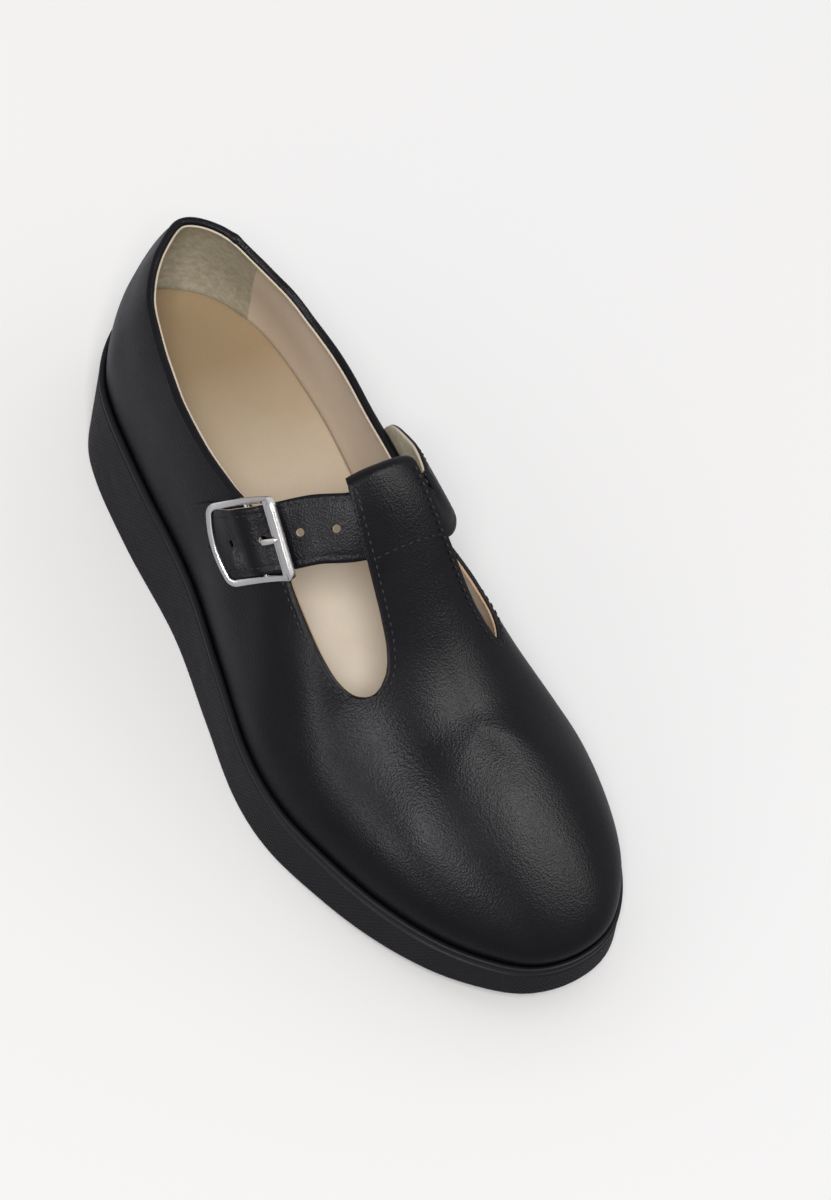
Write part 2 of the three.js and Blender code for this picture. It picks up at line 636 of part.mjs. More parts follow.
const frameRing = frameTrack.map((point, i) => {
  const before = frameTrack.at(i - 1);
  const after = frameTrack[(i + 1) % frameTrack.length];
  const run = after.clone().sub(before).setZ(0).normalize();
  const out = new THREE.Vector3(run.y, -run.x, 0);
  const [w, h] = [wireWidth / 2, wireHeight / 2];
  const section = [
    [-w, -h / 2], [-w / 2, -h], [w / 2, -h], [w, -h / 2],
    [w, h / 2], [w / 2, h], [-w / 2, h], [-w, h / 2],
  ];
  return section.map(([o, n]) =>
    point.clone().addScaledVector(out, o).add(new THREE.Vector3(0, 0, n)).applyMatrix4(buckleTurn));
});
const restCentre = frameReach - restWidth / 2;
const rest = new THREE.BoxGeometry(restWidth, 2 * frameHalfWidth, restThickness);
rest.translate(restCentre, 0, frameRaise.front);
const restNotch = new THREE.BoxGeometry(restWidth, prongWidth + 2 * fit, restThickness * 2);
restNotch.translate(restCentre - restWidth * 0.6, 0, frameRaise.front);
const buckleFrame = loft(frameRing, 0, true)
  .add(placed(rod(barRadius, 2 * frameHalfWidth)))
  .add(placed(rest))
  .subtract(placed(restNotch));

// The prong turns round the middle bar, comes up through the strap and rests on the frame.
const prongEye = eyeRadius - prongHeight / 2;
const prongRest = frameRaise.front + restThickness / 2 + fit + prongHeight / 2;
const prongTrack = new THREE.CatmullRomCurve3([
  ...[-200, -240, -280, -320, -360].map((degrees) => {
    const angle = THREE.MathUtils.degToRad(degrees);
    return new THREE.Vector3(prongEye * Math.cos(angle), prongEye * Math.sin(angle), 0);
  }),
  new THREE.Vector3(prongHole * 0.6, prongRest * 0.2, 0),
  new THREE.Vector3(prongHole, prongRest * 0.75, 0),
  new THREE.Vector3(prongHole + 1.8, prongRest + 0.6, 0),
  new THREE.Vector3(restCentre - 0.4, prongRest + 0.1, 0),
  new THREE.Vector3(restCentre + 0.5, prongRest, 0),
]);
const prong = loft(
  steps(24).map((u) => {
    const point = prongTrack.getPointAt(u);
    const run = prongTrack.getTangentAt(u);
    const taper = 1 - 0.35 * THREE.MathUtils.smoothstep(u, 0.75, 1);
    const [w, h] = [(prongWidth / 2) * taper, (prongHeight / 2) * taper];
    const section = [[-w, 0], [-w / 2, -h], [w / 2, -h], [w, 0], [w / 2, h], [-w / 2, h]];
    return section.map(([e2, n]) => inBuckle(point.x - run.y * n, e2, point.y + run.x * n));
  }),
);

// The buckle's tab: a flat leather patch on the quarter, rolled round the middle bar.
// Each row holds the patch's rear and front edges, from its point to the bar.
const tabRows = [
  { order: 0, rearAt: 0.338, rearClimb: 0.108, frontAt: 0.344, frontClimb: 0.116, lift: 0 },
  { order: 0.2, rearAt: 0.345, rearClimb: 0.165, frontAt: 0.373, frontClimb: 0.168, lift: 0 },
  { order: 0.45, rearAt: 0.357, rearClimb: 0.25, frontAt: 0.395, frontClimb: 0.21, lift: 0 },
  { order: 0.75, rearAt: 0.378, rearClimb: 0.38, frontAt: 0.411, frontClimb: 0.31, lift: 0 },
  { order: 1, rearAt: 0.4005, rearClimb: 0.485, frontAt: 0.43, frontClimb: 0.424, lift: 1 },
];
const tabRise = barLift - sleeveRadius - fit;
const tabRing = (order) => {
  const column = (name) => blend(tabRows, "order", name, order);
  const low = fit + column("lift") * tabRise;
  const across = (lift) =>
    steps(5).map((u) =>
      skin(
        THREE.MathUtils.lerp(column("rearAt"), column("frontAt"), u) / 2,
        THREE.MathUtils.lerp(column("rearClimb"), column("frontClimb"), u),
        lift,
      ),
    );
  return [...across(low), ...across(low + tabThickness).toReversed()];
};
const sleeveLength = strapWidth * 0.8;
const sleeve = placed(rod(sleeveRadius, sleeveLength)).subtract(
  placed(rod(barRadius + fit, sleeveLength * 2)),
);
const prongSlot = new THREE.BoxGeometry(sleeveRadius * 6, prongWidth + 2 * fit, sleeveRadius * 6);
const buckleTab = loft(steps(14).map(tabRing), 1)
  .subtract(placed(rod(barRadius + fit, sleeveLength * 2)))
  .add(sleeve)
  .subtract(placed(prongSlot.translate(sleeveRadius, 0, 0)))
  .subtract(quarters);

const shoe = new THREE.Group();
shoe.add(meshOf("sole", sole, blackRubber));
shoe.add(meshOf("upper", upper, blackLeather));
shoe.add(meshOf("insole", insole, beigeLeather));
shoe.add(meshOf("collar_binding", collarBinding(bindingRadius), blackLeather));
shoe.add(meshOf("strap", strap, blackLeather));
shoe.add(meshOf("buckle_tab", buckleTab, blackLeather));
shoe.add(meshOf("buckle_frame", buckleFrame, silver));
shoe.add(meshOf("buckle_prong", prong, silver));

export default shoe;
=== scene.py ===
import bpy
import bmesh
import math
import numpy as np
from mathutils import Matrix, Vector


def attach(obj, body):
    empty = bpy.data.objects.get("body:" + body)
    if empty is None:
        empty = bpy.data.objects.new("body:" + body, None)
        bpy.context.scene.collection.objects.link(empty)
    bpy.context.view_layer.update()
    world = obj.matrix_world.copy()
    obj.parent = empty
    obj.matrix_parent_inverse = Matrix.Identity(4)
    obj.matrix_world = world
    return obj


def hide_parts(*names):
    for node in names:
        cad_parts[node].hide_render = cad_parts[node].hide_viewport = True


# A right-foot platform shoe with a T-bar and a buckled strap, dressed over its CAD frame.
# Tables and sizes are in millimetres or in shares of the last; the meshes are in metres.
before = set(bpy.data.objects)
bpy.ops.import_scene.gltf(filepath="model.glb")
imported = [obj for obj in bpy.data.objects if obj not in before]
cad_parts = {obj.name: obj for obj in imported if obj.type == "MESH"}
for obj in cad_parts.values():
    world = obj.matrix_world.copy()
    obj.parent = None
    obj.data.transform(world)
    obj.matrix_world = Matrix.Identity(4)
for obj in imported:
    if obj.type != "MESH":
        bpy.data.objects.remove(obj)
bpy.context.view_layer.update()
scene = bpy.context.scene
mm = 0.001
print("frame:", ", ".join(sorted(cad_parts)))


# Helpers for meshes and nodes.
def addNode(tree, kind, inputs=None, **settings):
    node = tree.nodes.new(kind)
    for key, value in settings.items():
        setattr(node, key, value)
    for key, value in (inputs or {}).items():
        if isinstance(value, bpy.types.NodeSocket):
            tree.links.new(value, node.inputs[key])
        else:
            node.inputs[key].default_value = value
    return node


def newGroup(name, inputs, outputs):
    tree = bpy.data.node_groups.new(name, "ShaderNodeTree")
    for label, kind, value in inputs:
        socket = tree.interface.new_socket(label, in_out="INPUT", socket_type=kind)
        if value is not None:
            socket.default_value = value
    for label, kind in outputs:
        tree.interface.new_socket(label, in_out="OUTPUT", socket_type=kind)
    return tree, addNode(tree, "NodeGroupInput").outputs, addNode(tree, "NodeGroupOutput")


def newMaterial(name, **constants):
    look = bpy.data.materials.new(name)
    look.use_nodes = True
    shader = look.node_tree.nodes["Principled BSDF"]
    for key, value in constants.items():
        shader.inputs[key.replace("_", " ")].default_value = value
    return look, look.node_tree, shader


def math2(tree, operation, a, b=None, c=None):
    values = {i: v for i, v in enumerate((a, b, c)) if v is not None}
    return addNode(tree, "ShaderNodeMath", values, operation=operation).outputs[0]


# A rectangular sheet of points, rows by columns, made from a grid and laid on its places.
def addSheet(bm, points, uvs=None, material=0, flip=False):
    rows, columns = points.shape[:2]
    uvLayer = bm.loops.layers.uv.get("UVMap") or bm.loops.layers.uv.new("UVMap")
    made = bmesh.ops.create_grid(bm, x_segments=rows - 1, y_segments=columns - 1, size=0.5)
    spots = {}
    for vert in made["verts"]:
        spot = (round((vert.co.x + 0.5) * (rows - 1)), round((vert.co.y + 0.5) * (columns - 1)))
        spots[vert] = spot
        vert.co = points[spot] * mm
    faces = list({face for vert in made["verts"] for face in vert.link_faces})
    for face in faces:
        face.material_index = material
        face.smooth = True
        if uvs is not None:
            for loop in face.loops:
                loop[uvLayer].uv = uvs[spots[loop.vert]]
    if flip:
        bmesh.ops.reverse_faces(bm, faces=faces)
    return faces


# A closed section carried along a row of rings, with its ends closed unless it is a hoop.
def addSweep(bm, rings, hoop=False, material=0, uvs=None):
    rings = np.concatenate([rings, rings[:, :1]], axis=1)
    if hoop:
        rings = np.concatenate([rings, rings[:1]], axis=0)
    faces = addSheet(bm, rings, uvs, material)
    verts = list({vert for face in faces for vert in face.verts})
    bmesh.ops.remove_doubles(bm, verts=verts, dist=2e-6)
    if not hoop:
        edges = [edge for edge in bm.edges if edge.is_boundary]
        for face in bmesh.ops.holes_fill(bm, edges=edges, sides=0)["faces"]:
            face.smooth = True
            face.material_index = material


def closeUp(bm, spread=2e-6):
    bmesh.ops.remove_doubles(bm, verts=bm.verts, dist=spread)
    bmesh.ops.dissolve_degenerate(bm, edges=bm.edges, dist=1e-7)
    bmesh.ops.recalc_face_normals(bm, faces=bm.faces)


def newPiece(name, bm, looks, node):
    mesh = bpy.data.meshes.new(name)
    bm.to_mesh(mesh)
    bm.free()
    for look in looks:
        mesh.materials.append(look)
    piece = bpy.data.objects.new(name, mesh)
    scene.collection.objects.link(piece)
    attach(piece, "root")
    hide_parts(node)
    print("piece:", name, len(mesh.polygons), "faces")
    return piece


def solidify(piece, thickness, rimLook):
    wall = piece.modifiers.new("wall", "SOLIDIFY")
    wall.thickness = thickness * mm
    wall.offset = -1
    wall.use_even_offset = True
    wall.material_offset_rim = rimLook


# The shoe's own shape.
last = {
    "length": 265, "width": 96, "setback": 36, "platform": 37.7,
    "toeSpring": 10.7, "springStart": 165, "springPower": 1.7,
    "heelBevel": 1.2, "heelBevelLength": 22, "instep": 86, "lip": 2.2, "fit": 0.3,
}


def tableOf(names, rows):
    return dict(zip(names.split(), np.array(rows, float).T))


outlineTable = tableOf("along lateral medial", [
    (0.03, 0.153, 0.181), (0.08, 0.278, 0.278), (0.14, 0.339, 0.327), (0.25, 0.375, 0.344),
    (0.38, 0.395, 0.328), (0.5, 0.457, 0.353), (0.6, 0.508, 0.431), (0.68, 0.508, 0.485),
    (0.76, 0.458, 0.495), (0.84, 0.384, 0.46), (0.91, 0.285, 0.399), (0.96, 0.173, 0.311),
    (0.99, 0.064, 0.205),
])
outlineEnds = {"heel": (0, 0.012), "toe": (1, 0.068)}
thickness = tableOf("along height", [
    (0, 1), (0.226, 0.97), (0.49, 0.753), (0.7, 0.584), (1, 0.347),
])
sections = tableOf(
    "along ridge height across tilt lateralRound medialRound lateralBulge medialBulge", [
        (0, 0.219, 1.0035, -0.026, 0, 1.9, 1.9, 0.0167, 0.0167),
        (0.1, 0.25, 0.9937, -0.031, 0, 1.87, 1.6, 0.0083, 0),
        (0.19, 0.295, 0.9813, -0.031, 0, 2.2, 1.85, 0.0021, -0.0062),
        (0.31, 0.365, 0.9776, -0.031, 0, 2.8, 2.3, 0, -0.0031),
        (0.4, 0.43, 0.9836, -0.021, 0, 2.4, 2.15, 0, -0.0083),
        (0.48, 0.488, 0.9721, -0.005, 0, 1.97, 2, 0, -0.0271),
        (0.54, 0.54, 0.897, 0.005, 0, 1.97, 2, 0, -0.0458),
        (0.62, 0.617, 0.7133, 0.012, 0, 1.97, 2, 0, -0.0354),
        (0.68, 0.672, 0.576, 0.019, 0, 1.97, 1.95, 0.0021, -0.0125),
        (0.76, 0.72, 0.4966, 0.036, -0.1, 2.05, 1.95, 0.0062, 0.0042),
        (0.86, 0.755, 0.462, 0.057, -0.2, 2.25, 2.2, 0.0104, 0.0104),
        (1, 0.775, 0.4246, 0.068, -0.28, 2.5, 2.5, 0.0146, 0.0146),
    ])
collar = tableOf("at lateral medial", [
    (0, 0.439, 0.439), (0.055, 0.447, 0.449), (0.12, 0.441, 0.451), (0.215, 0.407, 0.418),
    (0.263, 0.361, 0.352), (0.3, 0.321, 0.31), (0.332, 0.32, 0.308), (0.364, 0.374, 0.352),
    (0.38, 0.415, 0.37), (0.405, 0.472, 0.383), (0.43, 0.49, 0.39), (0.45, 0.495, 0.402),
])
cutOuts = {
    "lateral": tableOf("at outer inner", [
        (0.405, 0.472, 0.85), (0.43, 0.49, 0.843), (0.46, 0.497, 0.836), (0.492, 0.523, 0.829),
        (0.52, 0.549, 0.82), (0.545, 0.579, 0.803), (0.562, 0.616, 0.772),
        (0.571, 0.658, 0.73), (0.5735, 0.685, 0.703),
    ]),
    "medial": tableOf("at outer inner", [
        (0.405, 0.383, 0.75), (0.43, 0.39, 0.745), (0.448, 0.4, 0.745), (0.472, 0.425, 0.74),
        (0.5, 0.465, 0.725), (0.525, 0.513, 0.708), (0.545, 0.565, 0.683),
        (0.557, 0.605, 0.658), (0.563, 0.628, 0.642),
    ]),
}
sides = ("lateral", "medial")


def blend(table, column, value):
    keys, values = next(iter(table.values())), table[column]
    x = np.clip(value, keys[0], keys[-1])
    i = np.clip(np.searchsorted(keys, x, side="right") - 1, 0, len(keys) - 2)
    low = np.maximum(np.arange(len(keys)) - 1, 0)
    high = np.minimum(np.arange(len(keys)) + 1, len(keys) - 1)
    slopes = (values[high] - values[low]) / (keys[high] - keys[low])
    span = keys[i + 1] - keys[i]
    u = (x - keys[i]) / span
    return (
        (2 * u**3 - 3 * u**2 + 1) * values[i] + (u**3 - 2 * u**2 + u) * span * slopes[i]
        + (3 * u**2 - 2 * u**3) * values[i + 1] + (u**3 - u**2) * span * slopes[i + 1]
    )


def unit(vectors):
    return vectors / np.linalg.norm(vectors, axis=-1, keepdims=True)


def runLengths(path):
    return np.concatenate([[0], np.cumsum(np.linalg.norm(np.diff(path, axis=0), axis=1))])


def smoothStep(low, high, value):
    u = np.clip((value - low) / (high - low), 0, 1)
    return u * u * (3 - 2 * u)


def cubic(b, c, m, n, w):
    return b + m * w + (-3 * b + 3 * c - 2 * m - n) * w**2 + (2 * b - 2 * c + m + n) * w**3


def outlinePlace(along, across):
    return np.stack([along * last["length"] - last["setback"], across * last["width"]], -1)


outlinePoints = np.vstack([
    outlinePlace(*map(np.array, outlineEnds["heel"])),
    outlinePlace(outlineTable["along"], -outlineTable["lateral"]),
    outlinePlace(*map(np.array, outlineEnds["toe"])),
    outlinePlace(outlineTable["along"], outlineTable["medial"])[::-1],
])


# around runs 0 to 1 from the heel's back, by the lateral side to the toe and back.
def outlineAt(around, inset=0.0):
    def place(t):
        p = np.clip(t, 0, 1) * len(outlinePoints)
        i = np.floor(p).astype(int)
        a, b, c, d = (outlinePoints[(i + k) % len(outlinePoints)] for k in (-1, 0, 1, 2))
        return cubic(b, c, (c - a) / 2, (d - b) / 2, (p - i)[..., None])
    turn = np.asarray(around, float) % 1
    tangent = unit(place(turn + 1e-4) - place(turn - 1e-4))
    return place(turn) + np.stack([-tangent[..., 1], tangent[..., 0]], -1) * inset


def share(x):
    return np.clip((x + last["setback"]) / last["length"], 0, 1)


def springHeight(x):
    run = np.maximum(x + last["setback"] - last["springStart"], 0)
    return last["toeSpring"] * (run / (last["length"] - last["springStart"])) ** last["springPower"]


def groundHeight(x):
    bevel = np.maximum(last["heelBevelLength"] - last["setback"] - x, 0) / last["heelBevelLength"]
    return springHeight(x) + last["heelBevel"] * bevel**2


def lipHeight(x):
    return springHeight(x) + last["platform"] * blend(thickness, "height", share(x))


def skinBase(around, climb):
    turn, climb = np.broadcast_arrays(np.asarray(around, float) % 1, np.asarray(climb, float))
    foot = outlineAt(turn, last["lip"] + last["fit"])
    mirror = outlineAt(1 - turn, last["lip"] + last["fit"])
    middle = (foot[..., 0] + mirror[..., 0]) / 2
    column = {name: blend(sections, name, share(middle)) for name in sections}
    ridge = np.stack([column["ridge"] * last["length"] - last["setback"],
                      column["across"] * last["width"]], -1)
    fromEnd = np.minimum(np.minimum(turn, 1 - turn), np.abs(turn - 0.5))
    side = np.where(turn < 0.5, 1, -1) * np.minimum(fromEnd / 0.04, 1)
    mixed = {
        name: (column["lateral" + name] * (1 + side) + column["medial" + name] * (1 - side)) / 2
        for name in ("Round", "Bulge")
    }
    power = 2 / mixed["Round"]
    angle = climb * math.pi / 2
    up = np.maximum(np.sin(angle), 0) ** power
    reach = foot - ridge
    bulge = mixed["Bulge"] * last["width"] * 6.75 * up * (1 - up) ** 2
    grow = np.maximum(np.cos(angle), 0) ** power + bulge / np.linalg.norm(reach, axis=-1)
    lip = lipHeight(foot[..., 0])
    crown = lipHeight(middle) + column["height"] * last["instep"] + column["tilt"] * reach[..., 0] * grow
    return np.concatenate([ridge + reach * grow[..., None], (lip + (crown - lip) * up)[..., None]], -1)


def sideNormal(around, climb):
    step = 0.001
    run = skinBase(around + step, climb) - skinBase(around - step, climb)
    rise = skinBase(around, climb + step) - skinBase(around, climb - step)
    return unit(np.cross(run, rise))


def skinNormal(around, climb):
    around, climb = np.broadcast_arrays(np.asarray(around, float), np.asarray(climb, float))
    inner = np.clip(climb, 0.004, 0.985)
    normal = sideNormal(around, inner)
    both = unit(normal + sideNormal(1 - around, inner))
    return np.where((climb < 0.999)[..., None], normal, both)


def aroundAt(side, at):
    return np.asarray(at, float) / 2 if side == "lateral" else 1 - np.asarray(at, float) / 2


# Soft creases of a worn-in upper, from one place to another. depth is below zero in a
# trough and above it on a ridge.
creases = [
    # side, at, climb, to at, to climb, width, depth
    ("lateral", 0.6, 0.55, 0.66, 0.43, 13, -0.25),
    ("lateral", 0.47, 0.43, 0.53, 0.28, 10, -0.6),
    ("lateral", 0.40, 0.30, 0.47, 0.20, 10, -0.5),
    ("lateral", 0.53, 0.48, 0.60, 0.30, 9, 0.4),
    ("lateral", 0.62, 0.42, 0.72, 0.36, 10, 0.35),
    ("medial", 0.62, 0.56, 0.7, 0.46, 14, -0.15),
    ("medial", 0.5, 0.35, 0.6, 0.24, 10, -0.5),
    ("lateral", 0.09, 0.30, 0.2, 0.22, 10, -0.5),
    ("medial", 0.12, 0.28, 0.26, 0.2, 10, -0.5),
]
creaseLines = [
    (skinBase(aroundAt(side, a), c), skinBase(aroundAt(side, b), d), width, depth)
    for side, a, c, b, d, width, depth in creases
]


def relief(points):
    total = np.zeros(points.shape[:-1])
    for start, end, width, depth in creaseLines:
        run = end - start
        u = np.clip(((points - start) @ run) / (run @ run), 0, 1)
        away = np.linalg.norm(points - start - u[..., None] * run, axis=-1)
        total += depth * np.exp(-((away / width) ** 2))
    return total


def skin(around, climb, lift=0.0):
    base = skinBase(around, climb)
    return base + skinNormal(around, climb) * (np.asarray(lift) + relief(base))[..., None]


# The T-bar's end runs straight across the shoe, so its rows lean to one length near it.
tBarSquare = {"at": 0.4354, "x": 101.2, "fadeFrom": 0.44, "fadeTo": 0.54}


def squaredAt(side, at, climb):
    at, climb = np.broadcast_arrays(np.asarray(at, float), np.asarray(climb, float))
    t = tBarSquare
    here = np.full(at.shape, t["at"])
    for _ in range(3):
        x = skinBase(aroundAt(side, here), climb)[..., 0]
        slope = (skinBase(aroundAt(side, here + 0.002), climb)[..., 0] - x) / 0.002
        here = here + (t["x"] - x) / slope
    return at + (here - t["at"]) * (1 - smoothStep(t["fadeFrom"], t["fadeTo"], at))


# Over the strap the bar's end bridges flat, so it stands off the foot, most at its medial side.
tBarStandOff = {
    "ridge": (-1, 0, 3.1), "lateral": (-1.5, -0.8, 3.2), "medial": (-2, 0, 7),
    "edge": {"lateral": 0.85, "medial": 0.75}, "curl": 1.6, "fadeFrom": 0.45, "fadeTo": 0.535,
}


def standOff(side, at, climb):
    t = tBarStandOff
    rise = np.clip((1 - climb) / (1 - t["edge"][side]), 0, 1.05) ** t["curl"]
    ridge, edge = np.array(t["ridge"]), np.array(t[side])
    fade = np.broadcast_to(1 - smoothStep(t["fadeFrom"], t["fadeTo"], at), rise.shape)
    return (ridge + rise[..., None] * (edge - ridge)) * fade[..., None]


def climbBelow(side, at, climb, distance):
    around = aroundAt(side, at)
    slope = np.linalg.norm(skinBase(around, climb) - skinBase(around, climb - 0.01), axis=-1) / 0.01
    return climb - distance / slope


print("shape: outline, sections and creases ready")


# Finishes.
def objectPoint(tree):
    return addNode(tree, "ShaderNodeTexCoord").outputs["Object"]


def mapPoint(tree):
    return addNode(tree, "ShaderNodeUVMap", uv_map="UVMap").outputs["UV"]


# Pebbled grain: small cells with fine noise between, and a slow tone change.
def buildGrain():
    tree, given, out = newGroup(
        "leatherGrain",
        [("Vector", "NodeSocketVector", None), ("Cells", "NodeSocketFloat", 1300),
         ("Crease", "NodeSocketFloat", 0.5)],
        [("Height", "NodeSocketFloat"), ("Tone", "NodeSocketFloat")],
    )
    cells = addNode(tree, "ShaderNodeTexVoronoi", {
        "Vector": given["Vector"], "Scale": given["Cells"], "Randomness": 1.0,
    }, feature="SMOOTH_F1")
    cells.inputs["Smoothness"].default_value = 0.35
    fine = addNode(tree, "ShaderNodeTexNoise", {
        "Vector": given["Vector"], "Scale": 2600.0, "Detail": 2.0, "Roughness": 0.6,
    })
    slow = addNode(tree, "ShaderNodeTexNoise", {
        "Vector": given["Vector"], "Scale": 60.0, "Detail": 3.0, "Roughness": 0.55,
    })
    pits = math2(tree, "MULTIPLY", cells.outputs["Distance"], given["Crease"])
    both = math2(tree, "MULTIPLY_ADD", fine.outputs["Fac"], 0.5, pits)
    tree.links.new(both, out.inputs["Height"])
    tree.links.new(slow.outputs["Fac"], out.inputs["Tone"])
    return tree


# Diamond knurl of raised points on a mapped wall. The pitch is in metres.
def buildKnurl():
    tree, given, out = newGroup(
        "knurl", [("Vector", "NodeSocketVector", None), ("Pitch", "NodeSocketFloat", 0.0014)],
        [("Height", "NodeSocketFloat")],
    )
    spread = addNode(tree, "ShaderNodeSeparateXYZ", {0: given["Vector"]}).outputs
    waves = []
    for operation in ("ADD", "SUBTRACT"):
        slant = math2(tree, operation, spread["X"], spread["Y"])
        turns = math2(tree, "DIVIDE", slant, given["Pitch"])
        waves.append(math2(tree, "PINGPONG", turns, 0.5))
    low = math2(tree, "MINIMUM", waves[0], waves[1])
    tree.links.new(math2(tree, "MULTIPLY", low, 2.0), out.inputs["Height"])
    return tree


# Handling marks: patches where the surface is duller or paler.
def buildPatches():
    tree, given, out = newGroup(
        "patches",
        [("Vector", "NodeSocketVector", None), ("Scale", "NodeSocketFloat", 40),
         ("Low", "NodeSocketFloat", 0.45), ("High", "NodeSocketFloat", 0.7)],
        [("Mask", "NodeSocketFloat")],
    )
    noise = addNode(tree, "ShaderNodeTexNoise", {
        "Vector": given["Vector"], "Scale": given["Scale"], "Detail": 5.0, "Roughness": 0.65,
    })
    mask = addNode(tree, "ShaderNodeMapRange", {
        "Value": noise.outputs["Fac"], "From Min": given["Low"], "From Max": given["High"],
    })
    tree.links.new(mask.outputs["Result"], out.inputs["Mask"])
    return tree


grainGroup, knurlGroup, patchGroup = buildGrain(), buildKnurl(), buildPatches()


def mixColour(tree, factor, first, second):
    node = addNode(tree, "ShaderNodeMix", data_type="RGBA")
    for index, value in ((0, factor), (6, first), (7, second)):
        if isinstance(value, bpy.types.NodeSocket):
            tree.links.new(value, node.inputs[index])
        else:
            node.inputs[index].default_value = value
    return node.outputs[2]


def ranged(tree, value, low, high, toLow, toHigh):
    return addNode(tree, "ShaderNodeMapRange", {
        "Value": value, "From Min": low, "From Max": high, "To Min": toLow, "To Max": toHigh,
    }).outputs["Result"]


# Leather of any colour: two tones, grain as bump, and a roughness that wanders.
def leatherLook(name, settings):
    look, tree, shader = newMaterial(name, Specular_IOR_Level=settings["specular"])
    place = objectPoint(tree)
    grain = addNode(tree, "ShaderNodeGroup", node_tree=grainGroup)
    tree.links.new(place, grain.inputs["Vector"])
    grain.inputs["Cells"].default_value = settings["cells"]
    grain.inputs["Crease"].default_value = settings["crease"]
    patches = addNode(tree, "ShaderNodeGroup", node_tree=patchGroup)
    tree.links.new(place, patches.inputs["Vector"])
    patches.inputs["Scale"].default_value = settings["patchScale"]
    colour = mixColour(tree, grain.outputs["Tone"], settings["dark"], settings["light"])
    if "worn" in settings:
        amount = math2(tree, "MULTIPLY", patches.outputs["Mask"], settings["wornShare"])
        colour = mixColour(tree, amount, colour, settings["worn"])
    tree.links.new(colour, shader.inputs["Base Color"])
    rough = ranged(tree, grain.outputs["Tone"], 0.3, 0.7, *settings["rough"])
    tree.links.new(rough, shader.inputs["Roughness"])
    bump = addNode(tree, "ShaderNodeBump", {
        "Strength": settings["bump"], "Distance": settings["bumpDepth"],
        "Height": grain.outputs["Height"],
    })
    tree.links.new(bump.outputs["Normal"], shader.inputs["Normal"])
    return look, tree, shader, colour


leathers = {
    "black": {
        "dark": (0.0028, 0.0025, 0.0042, 1), "light": (0.0046, 0.0042, 0.0062, 1),
        "rough": (0.29, 0.37), "specular": 0.14,
        "cells": 1500, "crease": 0.7, "bump": 0.6, "bumpDepth": 0.00017, "patchScale": 45,
        "worn": (0.0085, 0.008, 0.009, 1), "wornShare": 0.25,
    },
    # Cut edges: a dyed edge, painted paler than the face as a painted highlight along each edge.
    "edge": {
        "dark": (0.006, 0.0055, 0.007, 1), "light": (0.012, 0.011, 0.012, 1),
        "rough": (0.55, 0.7), "specular": 0.22,
        "cells": 2000, "crease": 0.9, "bump": 0.6, "bumpDepth": 0.0002, "patchScale": 90,
    },
    "raw": {
        "dark": (0.5, 0.28, 0.15, 1), "light": (0.7, 0.5, 0.34, 1),
        "rough": (0.75, 0.9), "specular": 0.2,
        "cells": 2200, "crease": 0.9, "bump": 0.6, "bumpDepth": 0.0002, "patchScale": 120,
    },
    "cream": {
        "dark": (0.7, 0.58, 0.47, 1), "light": (0.8, 0.71, 0.61, 1),
        "rough": (0.55, 0.7), "specular": 0.2,
        "cells": 1500, "crease": 0.5, "bump": 0.35, "bumpDepth": 0.00014, "patchScale": 60,
        "worn": (0.62, 0.49, 0.37, 1), "wornShare": 0.3,
    },
    "sock": {
        "dark": (0.76, 0.66, 0.53, 1), "light": (0.85, 0.77, 0.66, 1),
        "rough": (0.5, 0.66), "specular": 0.2,
        "cells": 1400, "crease": 0.6, "bump": 0.4, "bumpDepth": 0.00016, "patchScale": 35,
        "worn": (0.62, 0.49, 0.36, 1), "wornShare": 0.25,
    },
}
blackLeather = leatherLook("blackLeather", leathers["black"])[0]
# The cut edges on the upper's rim and the tab's sides carry a painted highlight in their paler tone.
edgeDyeAndHighlight = leatherLook("edgeDyeAndHighlight", leathers["edge"])[0]
# A cut edge is tan, but cream along the bound collar.
rawLeather, tree, shader, rawColour = leatherLook("rawLeather", leathers["raw"])
mapped = addNode(tree, "ShaderNodeSeparateXYZ", {0: mapPoint(tree)}).outputs
boundEdge = {"from": 0.385, "to": 0.4, "cream": (0.66, 0.56, 0.44, 1)}
turned = ranged(tree, mapped["X"], boundEdge["from"], boundEdge["to"], 1, 0)
tree.links.new(mixColour(tree, turned, rawColour, boundEdge["cream"]), shader.inputs["Base Color"])

# The insole is darker under the heel and paler forwards: partly its own darker tan, partly painted shade of
# the deep heel cup.
sockTanAndShade = {"heel": (0.27, 0.175, 0.075, 1), "from": 0.1, "to": 0.0, "most": 0.85}
sockLeather, tree, shader, sockColour = leatherLook("sockLeather", leathers["sock"])
spot = addNode(tree, "ShaderNodeSeparateXYZ", {0: objectPoint(tree)}).outputs
heelTanAndShade = ranged(tree, spot["X"], sockTanAndShade["from"], sockTanAndShade["to"], 0, sockTanAndShade["most"])
tree.links.new(mixColour(tree, heelTanAndShade, sockColour, sockTanAndShade["heel"]), shader.inputs["Base Color"])

